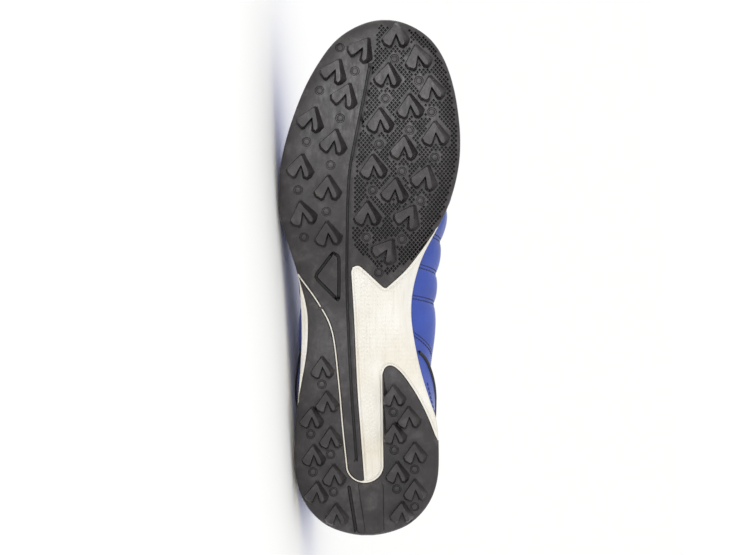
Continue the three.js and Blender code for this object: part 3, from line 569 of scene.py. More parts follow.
foamLineRows = [(0.504, -0.412), (0.447, -0.303), (0.393, -0.231), (0.299, -0.197), (0.211, -0.169),
                (0.137, -0.141)]
tailRows = [(0.109, -0.022), (0.182, -0.042), (0.289, -0.07), (0.416, -0.086), (0.51, -0.096)]
foreBackRows = [
    (0.5195, -0.086), (0.5225, -0.055), (0.517, -0.024), (0.49, 0.067), (0.4815, 0.098), (0.4795, 0.114),
    (0.483, 0.131), (0.514, 0.23), (0.553, 0.314), (0.592, 0.386), (0.607, 0.43),
]
heelArmRows = [(0.488, -0.403), (0.455, -0.387), (0.417, -0.383), (0.357, -0.408), (0.295, -0.452),
               (0.24, -0.49)]
heelPodRows = [
    (0.185, 0.484), (0.229, 0.422), (0.27, 0.348), (0.307, 0.26), (0.324, 0.2), (0.3285, 0.16),
    (0.324, 0.127), (0.3125, 0.11),
]
windowPlace = {"along": 0.137, "outer": -0.141, "inner": 0.11, "end": 0.1045}
foamLineWidth = 1.25

foamRun = smoothRun(onSole(foamLineRows), 40)
arcTurns = np.linspace(0, math.pi, 31)
windowArc = onSole(np.column_stack([
    windowPlace["along"] - (windowPlace["along"] - windowPlace["end"]) * np.sin(arcTurns),
    (windowPlace["outer"] + windowPlace["inner"]) / 2
    - (windowPlace["inner"] - windowPlace["outer"]) / 2 * np.cos(arcTurns)]))


def forefootOutline():
    outer = shiftRun(np.vstack([foamRun, windowArc[1:14]]), foamLineWidth / 2)
    wide, length = shoe["ballWidth"], shoe["length"]
    front = np.array([(0.61 * length, wide), (length + 30, wide), (length + 30, -wide),
                      (0.53 * length, -wide)])
    return anticlockwise(np.vstack([
        front, outer, smoothRun(onSole(tailRows), 24), smoothRun(onSole(foreBackRows), 50)]))


def heelOutline():
    inner = shiftRun(np.vstack([foamRun, windowArc[1:]]), -foamLineWidth / 2)
    wide, length = shoe["ballWidth"], shoe["length"]
    back = np.array([(0.22 * length, -wide), (-30, -wide), (-30, wide), (0.17 * length, wide)])
    return anticlockwise(np.vstack([
        smoothRun(onSole(heelArmRows), 30), back, smoothRun(onSole(heelPodRows), 32), inner[::-1]]))


forefootLoop, heelLoop = forefootOutline(), heelOutline()

# Columns of lugs: count, then start, middle and end, each along, across and turn in degrees
foreLugRows = [
    (4, 0.9, -0.179, 26, 0.76, -0.346, 17, 0.623, -0.359, -9),
    (5, 0.943, -0.028, 34, 0.762, -0.184, 14, 0.584, -0.222, -3),
    (4, 0.891, 0.112, 8, 0.758, 0.05, 0, 0.623, 0.0, 3),
    (3, 0.83, 0.235, 0, 0.75, 0.201, 7, 0.668, 0.151, 9),
    (3, 0.969, 0.156, 4, 0.926, 0.277, -9, 0.865, 0.352, -5),
    (4, 0.777, 0.374, 0, 0.654, 0.277, 25, 0.553, 0.11, 35),
]
heelLugRows = [
    (3, 0.23, -0.387, 4, 0.157, -0.373, 2, 0.086, -0.352, 6),
    (5, 0.326, -0.312, 0, 0.191, -0.253, 0, 0.043, -0.215, 0),
    (4, 0.272, 0.183, 0, 0.162, 0.197, 0, 0.047, 0.239, 4),
    (3, 0.23, 0.288, 0, 0.162, 0.331, 0, 0.09, 0.331, 0),
]
# One lug's foot and tip: ahead and aside, as shares of its length. The tip leans outwards and to the toe.
lugRoot = [
    (0.57, 0.01), (-0.13, 0.6), (-0.36, 0.52), (-0.5, 0.37), (-0.46, 0.18), (-0.03, 0.03), (-0.49, -0.08),
    (-0.55, -0.17), (-0.43, -0.44), (-0.25, -0.54),
]
lugTip = [
    (0.42, -0.03), (-0.1, 0.3), (-0.28, 0.38), (-0.39, 0.34), (-0.36, 0.25), (0.06, 0.03), (-0.4, -0.13),
    (-0.45, -0.2), (-0.35, -0.39), (-0.2, -0.47),
]


def lugPlaces(rows):
    places = []
    for count, x0, y0, t0, x1, y1, t1, x2, y2, t2 in rows:
        for i in range(count):
            t = i / (count - 1)
            weights = np.array([(1 - t) * (1 - 2 * t), 4 * t * (1 - t), t * (2 * t - 1)])
            along, across, turn = np.array([(x0, y0, t0), (x1, y1, t1), (x2, y2, t2)]).T @ weights
            places.append((onSole([(along, across)])[0], math.radians(turn)))
    return places


def softLoop(corners, share):
    corners = np.asarray(corners, float)
    run = []
    for before, corner, after in zip(np.roll(corners, 1, 0), corners, np.roll(corners, -1, 0)):
        start, end = blend(corner, before, share), blend(corner, after, share)
        run += [start, 0.25 * start + 0.5 * corner + 0.25 * end, end, blend(corner, after, 0.5)]
    return np.array(run)


def placed(loop, centre, turn, size):
    cos, sin = math.cos(turn), math.sin(turn)
    return centre + loop * size @ np.array([[cos, sin], [-sin, cos]])


def lugRings(places, size, height):
    root, top = softLoop(lugRoot, 0.09), softLoop(lugTip, 0.09)
    rings = [(0.0, 0.0), (0.06, 0.13), (0.93, 0.92), (1.0, 1.0)]
    return [(placed(blend(root, top, w), centre, turn, size), -height * up, True)
            for centre, turn in places for w, up in rings]


def ring(centre, radius, count=18):
    turns = np.linspace(0, 2 * math.pi, count, endpoint=False)
    return centre + radius * np.column_stack([np.cos(turns), np.sin(turns)])


def gridSpots(loop, pitchAlong, pitchAcross):
    low, high = loop.min(0), loop.max(0)
    along = np.arange(low[0], high[0], pitchAlong)
    across = np.arange(low[1], high[1], pitchAcross)
    return np.array(np.meshgrid(along, across)).reshape(2, -1).T


def fillerSpots(loop, pitch, margin):
    spots = gridSpots(loop, pitch, pitch)
    return spots[isInside(spots, loop) & (distanceTo(spots, loop) > margin)]


channelRows = [
    (0.905, 0.014), (0.846, -0.017), (0.76, -0.066), (0.69, -0.098), (0.572, -0.111), (0.46, -0.122),
    (0.3, -0.11), (0.15, -0.072),
]
knurlRows = [
    (0.992, 0.056), (0.8945, 0.016), (0.816, -0.022), (0.748, -0.06), (0.69, -0.076), (0.65, -0.08),
    (0.572, -0.088), (0.549, -0.064), (0.529, 0.018), (0.51, 0.078), (0.498, 0.11),
]
toeDiscs = [(0.944, -0.15), (0.86, -0.262)]
# a button inside a ring groove, in rings of an inset and a depth
disc = {"radius": 2.7, "rings": [(0, 0), (0.35, 0.8), (0.85, 0.8), (1.2, 0.15)], "middle": -0.1, "toLug": 2.6,
        "toEdge": 5}
badgeCorners = [(0.551, -0.198), (0.5, -0.328), (0.451, -0.185), (0.459, -0.165), (0.541, -0.152)]


def clearSpots(spots, holes, limit):
    keep = np.ones(len(spots), bool)
    for hole in holes:
        near = np.hypot(*(spots - hole.mean(0)).T) < np.hypot(*(hole - hole.mean(0)).T).max() + limit
        if near.any():
            block = isInside(spots[near], hole) | (distanceTo(spots[near], hole) < limit)
            keep[np.flatnonzero(near)[block]] = False
    return spots[keep]


def discPlaces(places, back, loop, holes):
    spots = np.array([centre - back * np.array([math.cos(turn / 2), math.sin(turn / 2)])
                      for centre, turn in places])
    spots = clearSpots(spots, holes, disc["toLug"])
    outer = soleLoop(0)
    return [p for p in spots if isInside(p[None], loop)[0] and distanceTo(p[None], outer)[0] > disc["toEdge"]]


def rounding(distance, radius):
    return radius * (1 - np.sqrt(np.maximum(0, 1 - np.clip(1 - distance / radius, 0, 1) ** 2)))


def rubberSolid(name, loop, lugs, discs, extraRuns, extraSpots, holes):
    size = {"thickness": 3.0, "edge": 1.0, "cutEdge": 0.5, "filler": 2.6, "pitDepth": 0.9}
    outer = soleLoop(0)
    runs = [(outer, 0, True), (loop, 0, True)]
    runs += [(soleLoop(inset), 0, True) for inset in (0.08, 0.35, 1.0)]
    runs += [(shiftRun(loop, -0.35, closed=True), 0, True)]
    runs += lugs
    for centre in discs:
        runs += [(ring(centre, disc["radius"] - inset), level, True) for inset, level in disc["rings"]]
    runs += extraRuns
    holes = holes + [run for run, level, closed in lugs if level == 0]
    holes = holes + [ring(centre, disc["radius"]) for centre in discs]
    filler = fillerSpots(outer, size["filler"], 1.6)
    filler = filler[isInside(filler, loop) & (distanceTo(filler, loop) > 1.0)]
    spots = [(spot, 0) for spot in clearSpots(filler, holes, 0.7)] + extraSpots
    spots += [(centre, disc["middle"]) for centre in discs]
    plan, faces, level = triangulate(runs, spots, lambda c: isInside(c, outer) & isInside(c, loop))
    level = level + rounding(distanceTo(plan, outer), size["edge"])
    level = level + rounding(distanceTo(plan, loop), size["cutEdge"])
    underside = undersideAt(plan[:, 0], plan[:, 1])
    points, solid = plateSolid(plan, faces, underside + level, underside + size["thickness"], [])
    piece = makePiece(name, points, solid, rubber, 32)
    # faces deeper than pitDepth take the near-black rubber, as painted shade in the pits and grooves
    piece.data.materials.append(pitShadeRubber)
    for face in piece.data.polygons:
        depths = [level[i] if i < len(level) else 0 for i in face.vertices]
        face.material_index = int(sum(depths) / len(depths) > size["pitDepth"])
    return piece


def forefootRubber():
    size = {"lug": 14.5, "lugHeight": 5.0, "discBack": 13.6, "discToChannel": 4.2, "discToBadge": 4.0,
            "knurlAlong": 2.65, "knurlAcross": 2.25, "knurlEdge": 1.02, "knurlReach": (0.53, 0.985)}
    # each run is an offset from its line and a depth
    channelSteps = [(-0.95, 0), (-0.7, 1.8), (0.4, 1.8), (0.65, 0.5), (2.1, 0)]
    badgeSteps = [(0, 0), (-0.3, 2.1), (-1.5, 2.1), (-1.9, 0.3)]
    knurlSteps = [((1.0, 0.84), 0), ((0.78, 0.66), 1.5)]   # half a diamond, and its depth
    places = lugPlaces(foreLugRows)
    lugs = lugRings(places, size["lug"], size["lugHeight"])
    lugHoles = [run for run, level, closed in lugs if level == 0]
    channelRun = smoothRun(onSole(channelRows), 60)
    channelRuns = [(shiftRun(channelRun, off), level, False) for off, level in channelSteps]
    channelBand = np.vstack([shiftRun(channelRun, 2.3), shiftRun(channelRun, -1.1)[::-1]])
    badge = softLoop(anticlockwise(onSole(badgeCorners)), 0.16)
    badgeRuns = [(shiftRun(badge, off, True) if off else badge, level, True) for off, level in badgeSteps]
    discs = [p for p in discPlaces(places, size["discBack"], forefootLoop, lugHoles)
             if distanceTo(p[None], channelRun, False)[0] > size["discToChannel"]
             and distanceTo(p[None], badge)[0] > size["discToBadge"]]
    discs += list(onSole(toeDiscs))

    edge = soleLoop(1.0)
    s = edge[:, 0] / shoe["length"]
    low, high = size["knurlReach"]
    medial = edge[(edge[:, 1] > soleCentre(s) * widthAt(s)) & (s > low) & (s < high)]
    medial = medial[np.argsort(medial[:, 0])]
    knurl = anticlockwise(np.vstack([smoothRun(onSole(knurlRows), 50), medial]))
    cells = gridSpots(knurl, size["knurlAlong"], size["knurlAcross"])
    cells = np.vstack([cells, cells + (size["knurlAlong"] / 2, size["knurlAcross"] / 2)])   # staggered rows
    cells = cells[isInside(cells, knurl)]
    cells = cells[distanceTo(cells, knurl) > size["knurlEdge"]]
    cells = clearSpots(cells, lugHoles + [ring(p, disc["radius"]) for p in discs], size["knurlEdge"])
    diamond = np.array([(1, 0), (0, 1), (-1, 0), (0, -1)])
    knurlRuns = [(cell + diamond * half, level, True) for cell in cells for half, level in knurlSteps]
    piece = rubberSolid("forefootRubber", forefootLoop, lugs, discs, channelRuns + badgeRuns + knurlRuns, [],
                        [channelBand, knurl, badge])
    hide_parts("outsole_forefoot")


def heelRubber():
    size = {"lug": 12.5, "lugHeight": 4.5, "discBack": 9.5, "flatDepth": 0.7, "filler": 2.6}
    places = lugPlaces(heelLugRows)
    lugs = lugRings(places, size["lug"], size["lugHeight"])
    lugHoles = [run for run, level, closed in lugs if level == 0]
    discs = discPlaces(places, size["discBack"], heelLoop, lugHoles)
    # the bridge behind the window: a groove, a rib, then a flat let in as far as the inner pod
    bridge = [onSole(run) for run in ([(0.096, -0.124), (0.009, -0.075)], [(0.099, -0.06), (0.009, -0.012)],
                                      [(0.098, 0.113), (0.009, 0.118)])]
    bridge = [blend(run[0], run[1], np.linspace(0, 1, 14)[:, None]) for run in bridge]
    bridgeRuns = [(shiftRun(bridge[line], off), level, False) for line, off, level in (
        (0, -1.1, 0), (0, -0.6, 1.4), (0, 0.5, 1.4), (0, 0.9, 0),
        (1, -0.3, -0.15), (1, 0.3, size["flatDepth"]), (2, -0.3, size["flatDepth"]), (2, 0.3, 0))]
    flat = np.vstack([bridge[1], bridge[2][::-1]])
    flatSpots = [(spot, size["flatDepth"]) for spot in fillerSpots(flat, size["filler"], 1.3)]
    grooveBand = np.vstack([shiftRun(bridge[0], -1.4), shiftRun(bridge[0], 1.2)[::-1]])
    piece = rubberSolid("heelRubber", heelLoop, lugs, discs, bridgeRuns, flatSpots, [grooveBand, flat])
    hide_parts("outsole_heel")


forefootRubber()
heelRubber()
print("outsole made")


def midsole():
    size = {"setback": 0.4, "pocket": 3.3, "rim": 0.5, "rimAt": 1.7, "filler": 3.0,
            "pipColumns": 4, "pipPitch": 2.3, "pipReach": (48, 146), "pipFromTail": 3.3, "pipApart": 1.8,
            "pipRadius": 0.75, "pipHeight": 0.45}
    # the side wall from foot to top: share of its height, and how far out
    wall = [(0.03, 0.3), (0.27, 0.4), (0.31, 0.3), (0.34, -0.3), (0.38, -0.5), (0.44, -0.4), (0.49, 0.1),
            (0.53, 0.55), (0.57, 0.6), (0.82, 0.6), (0.9, 0.45), (0.96, 0.1)]
    outer = soleLoop(0.6)
    loops = [forefootLoop, heelLoop]
    runs = [(outer, 0, True), (soleLoop(2.0), 0, True)]
    runs += [(shiftRun(loop, grow, True), 0, True) for loop in loops for grow in (0.05, 0.3, 1.2, 1.7, 2.2)]
    filler = fillerSpots(outer, size["filler"], 1.8)
    for loop in loops:
        filler = filler[distanceTo(filler, loop) > 2.8]
    # faint staggered rows of pips beside the tail
    tail = smoothRun(onSole(tailRows), 60)
    tail = tail[np.argsort(tail[:, 0])]
    pips = []
    for column in range(size["pipColumns"]):
        x = np.arange(*size["pipReach"], size["pipPitch"]) + size["pipPitch"] / 2 * (column % 2)
        y = np.interp(x, tail[:, 0], tail[:, 1]) + size["pipFromTail"] + size["pipApart"] * column
        pips.append(np.column_stack([x, y]))
    pips = np.vstack(pips)
    pipLoops = [ring(pip, size["pipRadius"], 8) for pip in pips]
    runs += [(loop, 0, True) for loop in pipLoops]
    spots = [(spot, 0) for spot in clearSpots(filler, pipLoops, 0.4)]
    spots += [(pip, -size["pipHeight"]) for pip in pips]
    plan, faces, level = triangulate(runs, spots, lambda c: isInside(c, outer))
    toEdge = np.minimum(*[np.where(isInside(plan, loop), 0, distanceTo(plan, loop)) for loop in loops])
    rim = -size["rim"] * np.clip(1 - np.abs(toEdge - size["rimAt"]) / 0.5, 0, 1)
    covered = toEdge < 0.2
    underside = undersideAt(plan[:, 0], plan[:, 1]) + size["setback"]
    low = underside + rim + level + np.where(covered, size["pocket"] - size["setback"], 0)
    low = np.where(distanceTo(plan, outer) < 0.01, underside, low)
    points, solid = plateSolid(plan, faces, low, biteAt(plan[:, 0]), wall)
    piece = makePiece("foamMidsole", points, solid, foam, 40)
    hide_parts("midsole")


midsole()
print("midsole made")


# The upper's surface. Its chart runs u round from heel (0) to toe (chartLength), and v up from the bite line
# (0) over the widest line (30) to the ridge (90). Below 0 it is the margin folded in under the insole.

chartLength = 400.0
stepV = 10.0
widestStep, ribSteps = 3.0, 6.0


def shareAt(u):
    return (1 - np.cos(math.pi * np.clip(u / chartLength, 0, 1))) / 2


def chartAt(share):
    return chartLength * np.arccos(1 - 2 * np.clip(share, 0, 1)) / math.pi


def edgeSpots(centre, half, limits, share, side, out):
    def spot(at):
        at = np.clip(at, *limits)
        return at * shoe["length"], (centre(at) + side * half(at)) * widthAt(at)
    x, y = spot(share)
    ahead, behind = spot(share + 0.0006), spot(share - 0.0006)
    runX, runY = ahead[0] - behind[0], ahead[1] - behind[1]
    size = np.hypot(runX, runY) + 1e-12
    # the two halves meet on the centre line
    inside = (share > limits[0] + 1e-9) & (share < limits[1] - 1e-9)
    return x - side * out * runY / size, y + np.where(inside, side * out * runX / size, 0)


# band is half the distance between the two stitch rows of a seam
quilt = {"band": 0.95, "puff": 1.9, "fullness": 0.62, "ridge": 0.3}


def quiltAt(x, above):
    crossings = [along * shoe["length"] - lean * above for along, lean in seamRows]
    height = np.zeros_like(x)
    for back, front in zip(crossings[:-1], crossings[1:]):
        t = (2 * x - back - front) / (front - back - 2 * quilt["band"])
        height += np.where(np.abs(t) < 1, quilt["puff"] * np.maximum(0, 1 - t * t) ** quilt["fullness"], 0)
    for crossing in crossings:
        t = (x - crossing) / quilt["band"]
        height += np.where(np.abs(t) < 1, quilt["ridge"] * (1 - t * t), 0)
    return height


# Soft creases: share along, v up, side, turn in degrees, length, width, depth in mm
creaseRows = [
    (0.795, 16, 1, 62, 15, 3.2, 0.5), (0.815, 22, 1, 74, 12, 2.6, 0.35), (0.772, 40, 1, 80, 16, 3.4, 0.4),
    (0.8, 18, -1, 64, 14, 3.0, 0.45), (0.775, 34, -1, 76, 18, 3.6, 0.45), (0.755, 58, 1, 84, 16, 3.6, 0.4),
    (0.76, 60, -1, 96, 15, 3.4, 0.4), (0.73, 74, -1, 90, 14, 3.0, 0.3), (0.29, 30, 1, 34, 22, 5.0, 0.55),
    (0.3, 42, 1, 28, 18, 4.4, 0.4), (0.28, 34, -1, 32, 22, 5.0, 0.5), (0.07, 48, 1, 12, 16, 4.0, 0.35),
    (0.07, 50, -1, 10, 16, 4.0, 0.35), (0.24, 55, 1, 18, 20, 5.0, 0.4), (0.23, 56, -1, 16, 20, 5.0, 0.4),
]


def creaseAt(u, v, side):
    depth = np.zeros_like(u)
    for share, up, which, turn, length, width, deep in creaseRows:
        along, climb = u - chartAt(share), v - up
        cos, sin = math.cos(math.radians(turn)), math.sin(math.radians(turn))
        run = (along * cos + climb * sin) / length
        off = (climb * cos - along * sin) / width + 0.6 * run * run
        trough = np.exp(-off ** 2) - 0.55 * np.exp(-(off - 1.7) ** 2) - 0.4 * np.exp(-(off + 1.8) ** 2)
        depth += np.where(side == which, deep * trough * np.exp(-(run * 1.5) ** 2), 0)
    return depth


def upperAt(u, v, side, grow=0.0, puff=1.0):
    u, v, side, grow = [np.asarray(a, float) for a in np.broadcast_arrays(u, v, side, grow)]
    s, k = shareAt(u), np.clip(v, 0, None) / stepV
    footOut = grow - shoe["featherInset"] + np.minimum(v, 0)
    footX, footY = edgeSpots(soleCentre, soleHalf, (0.0, 1.0), s, side, footOut)
    low, high = upperRows[0][0], upperRows[-1][0]
    wideX, wideY = edgeSpots(upperCentre, upperHalf, (low, high), blend(low, high, s), side, grow)
    meet = ridgeMeet(s)
    topX, topY = meet * shoe["length"], (upperCentre(meet) + ridgeShift(s)) * widthAt(meet)
    topZ = blend(shoe["toeBoxHeight"], shoe["instepHeight"], ridgeHeight(s)) + grow
    bite = biteAt(footX) + shoe["clearance"] - grow
    zWide = (biteAt(footX) + shoe["widestRise"] + shoe["sideRise"] * smoothStep((0.9 - s) / 0.3)
             + shoe["archBulge"] * archCurve(s))
    isLow = k < widestStep
    angle = math.pi / 2 * np.where(isLow, k / widestStep, np.minimum(1, (k - widestStep) / ribSteps))
    share = np.where(isLow, np.sin(angle), np.maximum(np.cos(angle), 1e-9) ** ridgeTaper(s))
    share = np.where(k >= widestStep + ribSteps, 0, share)
    x = blend(np.where(isLow, footX, topX), wideX, share)
    y = blend(np.where(isLow, footY, topY), wideY, share)
    z = np.where(isLow, blend(bite, zWide, k / widestStep), blend(zWide, topZ, np.sin(angle)))
    fade = smoothStep(k / 1.2) * smoothStep((0.56 - (k - widestStep) / ribSteps) / 0.28)
    if puff:
        bulge = puff * (fade * quiltAt(x, z - zWide) - creaseAt(u, v, side) * smoothStep(k))
        y, z = y + side * bulge, z + 0.3 * bulge
    return np.stack([x, y, z], -1)


# Where things end on the upper
topLine, counterLine = reader(topRows, 1), reader(counterRows, 1)
throatShape, tongueShape = reader(throatRows, 1), reader(tongueRows, 1)
throatEnd = 0.664 * shoe["length"]
eyestayEnd = throatEnd + shoe["eyestayWidth"] * 0.9
ridgeShares = np.linspace(0, 1, 600)
ridgeXs = ridgeMeet(ridgeShares) * shoe["length"]
ridgeYs = (upperCentre(ridgeMeet(ridgeShares)) + ridgeShift(ridgeShares)) * widthAt(ridgeMeet(ridgeShares))


def ridgeMiddle(x):
    return np.interp(x, ridgeXs, ridgeYs)


def roundedEnd(x, start, end):
    return np.sqrt(np.maximum(0, 1 - np.clip((x - start) / (end - start), 0, 1) ** 2))


def throatHalf(x):
    return throatShape(x / shoe["length"]) * shoe["throatWidth"] * roundedEnd(x, throatEnd - 7, throatEnd)


def eyestayHalf(x):
    wide = throatShape(np.minimum(x / shoe["length"], 0.64)) * shoe["throatWidth"] + shoe["eyestayWidth"]
    return wide * roundedEnd(x, throatEnd - 12, eyestayEnd)


farAway = 99


def insideTopLine(p):
    s = p[..., 0] / shoe["length"]
    return np.where(s < topRows[-1][0], topLine(s) * shoe["collarHeight"] - p[..., 2], farAway)


def insideThroat(half, end):
    def at(p):
        x, y, z = p[..., 0], p[..., 1], p[..., 2]
        away = np.abs(y - ridgeMiddle(x)) - half(x)
        elsewhere = (z < 0.46 * shoe["instepHeight"]) | (x < 0.2 * shoe["length"]) | (x > end)
        return np.where(elsewhere, farAway, away)
    return at


def insideCounter(p):
    return counterLine(p[..., 0] / shoe["length"]) * shoe["counterHeight"] - p[..., 2]


def crossingV(u, side, tests, first=30.0, last=90.0):
    v = np.linspace(first, last, 400)
    p = upperAt(u[:, None], v[None, :], side, 0, 0)
    f = np.minimum.reduce([test(p) for test in tests])
    below = f < 0
    hit = below.argmax(1)
    rows = np.arange(len(u))
    a, b = f[rows, np.maximum(hit - 1, 0)], f[rows, hit]
    t = np.clip(a / np.where(a - b == 0, 1, a - b), 0, 1)
    found = v[np.maximum(hit - 1, 0)] + t * (v[1] - v[0])
    return np.where(below.any(1), np.where(hit == 0, first, found), last)


def seamRun(side, along, lean, offset, low=1.5, high=61.0, count=48):
    u = np.linspace(chartAt(along - 0.13), chartAt(min(0.99, along + 0.05)), 260)
    run = []
    for v in np.linspace(low, high, count):
        p = upperAt(u, v, side, 0, 0)
        zWide = upperAt(u, widestStep * stepV, side, 0, 0)[:, 2]
        reach = p[:, 0] + lean * (p[:, 2] - zWide) - offset
        run.append((np.interp(along * shoe["length"], reach, u), v))
    return np.array(run)


def chartSpot(side, x, y):
    u, v = np.meshgrid(np.linspace(120, 300, 90), np.linspace(50, 89, 60), indexing="ij")
    p = upperAt(u, v, side, 0, 0)
    best = np.argmin((p[..., 0] - x) ** 2 + (p[..., 1] - y) ** 2)
    spot = np.array([u.flat[best], v.flat[best]])
    for attempt in range(6):
        near = spot + np.array([(0, 0), (0.2, 0), (0, 0.2)])
        here, ahead, above = upperAt(near[:, 0], near[:, 1], side, 0, 0)[:, :2]
        slope = np.column_stack([ahead - here, above - here]) / 0.2
        spot = spot + np.linalg.solve(slope, np.array([x, y]) - here)
    return spot, slope


eyelets = {"count": 6, "back": 0.397, "front": 0.641, "radius": 2.0, "inStay": 0.4}
eyeletPlaces = []
for i in range(eyelets["count"]):
    at = blend(eyelets["front"], eyelets["back"], i / (eyelets["count"] - 1)) * shoe["length"]
    away = float(throatShape(at / shoe["length"])) * shoe["throatWidth"]
    away += eyelets["inStay"] * shoe["eyestayWidth"]
    eyeletPlaces.append((at, float(ridgeMiddle(at)), away))
eyeletCharts = {side: [chartSpot(side, x, middle + side * away) for x, middle, away in eyeletPlaces]
                for side in (-1, 1)}


def eyeletRings(side, grow=0.0):
    hole = ring(np.zeros(2), eyelets["radius"] + grow, 20)
    return [spot + hole @ np.linalg.inv(slope).T for spot, slope in eyeletCharts[side]]


def tidyLoop(points, least=0.25):
    kept = [points[0]]
    for p in points[1:]:
        if np.hypot(*(p - kept[-1])) > least:
            kept.append(p)
    if np.hypot(*(kept[0] - kept[-1])) < least:
        kept.pop()
    return fineLoop(anticlockwise(np.array(kept)))


def fineLoop(points, longest=2.6):
    run = []
    for p, q in zip(points, np.roll(points, -1, 0)):
        steps = max(1, int(round(np.hypot(*(q - p)) / longest)))
        run += [blend(p, q, t / steps) for t in range(steps)]
    return np.array(run)


def bandLoop(u, low, high):
    return tidyLoop(np.vstack([np.column_stack([u, low]), np.column_stack([u, high])[::-1]]))


weldLines = [(0, 0.0), (0, chartLength), (1, 90.0)]


def surfaceShell(name, loops, runs, holes, spacing, outGrow, inGrow, material, rim=0.5, puff=1.0):
    points, solid, total = [], [], 0
    for side in (-1, 1):
        loop = loops[side]
        sideHoles = holes.get(side, [])
        spots = []
        for pitch, zone in spacing:
            box = np.array([[zone[0], loop[:, 1].min()], [zone[1], loop[:, 1].max()]])
            grid = gridSpots(box, pitch, pitch)
            grid[:, 1] += 0.5 * pitch * (np.round((grid[:, 0] - zone[0]) / pitch) % 2)
            grid = grid[isInside(grid, loop)]
            grid = grid[distanceTo(grid, loop) > 0.45 * pitch]
            for run in runs.get(side, []):
                grid = grid[distanceTo(grid, run, False) > 0.4 * pitch]
            spots.append(clearSpots(grid, sideHoles, 0.5))
        chart, faces, level = triangulate(
            [(loop, 0, True)] + [(run, 0, False) for run in runs.get(side, [])]
            + [(hole, 0, True) for hole in sideHoles],
            [(spot, 0) for spot in np.vstack(spots)],
            lambda c: isInside(c, loop) & ~np.any([isInside(c, hole) for hole in sideHoles] or
                                                  [np.zeros(len(c), bool)], axis=0))
        outer = upperAt(chart[:, 0], chart[:, 1], side, outGrow(chart, side), puff)
        inner = upperAt(chart[:, 0], chart[:, 1], side, inGrow(chart, side), puff)
        edges = [edge for edge in rimOf(faces)
                 if not any(abs(chart[edge[0]][axis] - at) < 0.02 and abs(chart[edge[1]][axis] - at) < 0.02
                            for axis, at in weldLines)]
        after, before = dict(edges), {b: a for a, b in edges}
        rimPoints = sorted(set(after) | set(before))
        place = {i: j for j, i in enumerate(rimPoints)}
        along = np.array([chart[after.get(i, i)] - chart[before.get(i, i)] for i in rimPoints])
        along /= np.linalg.norm(along, axis=1)[:, None] + 1e-12
        outward = np.column_stack([along[:, 1], -along[:, 0]])
        n, m = len(chart), len(rimPoints)
        rows = [[total + i for i in rimPoints]]
        points.append(outer)
        grown = [(grow(chart, side) + np.zeros(n))[rimPoints] for grow in (outGrow, inGrow)]
        start = total + n
        for t in (0.15, 0.5, 0.85):
            spot = chart[rimPoints] + outward * rim * math.sin(math.pi * t)
            points.append(upperAt(spot[:, 0], np.minimum(spot[:, 1], 90), side, blend(*grown, t), puff))
            rows.append([start + j for j in range(m)])
            start += m
        points.append(inner)
        rows.append([start + i for i in rimPoints])
        turn = 1 if side < 0 else -1
        solid += [tuple(total + int(i) for i in face[::turn]) for face in faces]
        solid += [tuple(start + int(i) for i in face[::-turn]) for face in faces]
        for upper, lower in zip(rows[:-1], rows[1:]):
            for a, b in edges:
                i, j = place[a], place[b]
                solid.append(tuple((upper[j], upper[i], lower[i], lower[j])[::turn]))
        total = start + n
    return makePiece(name, np.vstack(points), solid, material, 42, weld=True)


evenU = np.linspace(0, chartLength, 420)
trimV = {side: crossingV(evenU, side, [insideTopLine, insideThroat(throatHalf, throatEnd)])
         for side in (-1, 1)}
for side in trimV:   # the corner at the top of the eyestay is rounded off
    soft = np.convolve(np.pad(trimV[side], 3, mode="edge"), np.ones(7) / 7, "valid")
    nearEar = smoothStep((12 - np.abs(evenU - chartAt(0.36))) / 4)
    trimV[side] = blend(trimV[side], soft, nearEar)
stayV = {side: crossingV(evenU, side, [insideThroat(eyestayHalf, eyestayEnd)]) for side in (-1, 1)}
quiltZone = (chartAt(0.31), chartAt(0.77))
# where the margin folds in under the foot
foldRun = np.column_stack([evenU[1:-1], np.zeros(len(evenU) - 2)])


def upperLeather():
    size = {"pitch": 2.0, "quiltPitch": 1.35, "margin": -10.0, "thick": 1.3}
    loops, runs, holes = {}, {}, {}
    for side in (-1, 1):
        loops[side] = bandLoop(evenU, np.full_like(evenU, size["margin"]), trimV[side])
        runs[side] = [seamRun(side, along, lean, offset) for along, lean in seamRows
                      for offset in (-quilt["band"], 0.0, quilt["band"])] + [foldRun]
        holes[side] = eyeletRings(side)
    back, front = quiltZone
    zones = [(size["pitch"], (0.9, back)), (size["quiltPitch"], (back + 0.6, front)),
             (size["pitch"], (front + 1, chartLength - 0.8))]
    piece = surfaceShell("quiltedLeather", loops, runs, holes, zones,
                         lambda c, side: 0.0, lambda c, side: -size["thick"], leather)
    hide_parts("upper")


def collarLining():
    loops, holes = {}, {}
    for side in (-1, 1):
        loops[side] = bandLoop(evenU, np.full_like(evenU, -6.0), trimV[side] - 0.6)
        loops[side][:, 1] = np.where(loops[side][:, 1] > 89.3, 90, loops[side][:, 1])
        holes[side] = eyeletRings(side, 0.15)

    def padding(chart, side):
        below = np.interp(chart[:, 0], evenU, trimV[side]) - chart[:, 1]
        behind = smoothStep((chartAt(0.36) - chart[:, 0]) / 40)
        roll = smoothStep(below / 5) * (1 - smoothStep((below - 14) / 12))
        return -2.3 - 2.4 * behind * roll
    piece = surfaceShell("clothLining", loops, {-1: [foldRun], 1: [foldRun]}, holes, [(3.0, (1.5, 398.5))],
                         lambda c, side: -1.6, padding, liningCloth, 0.3)


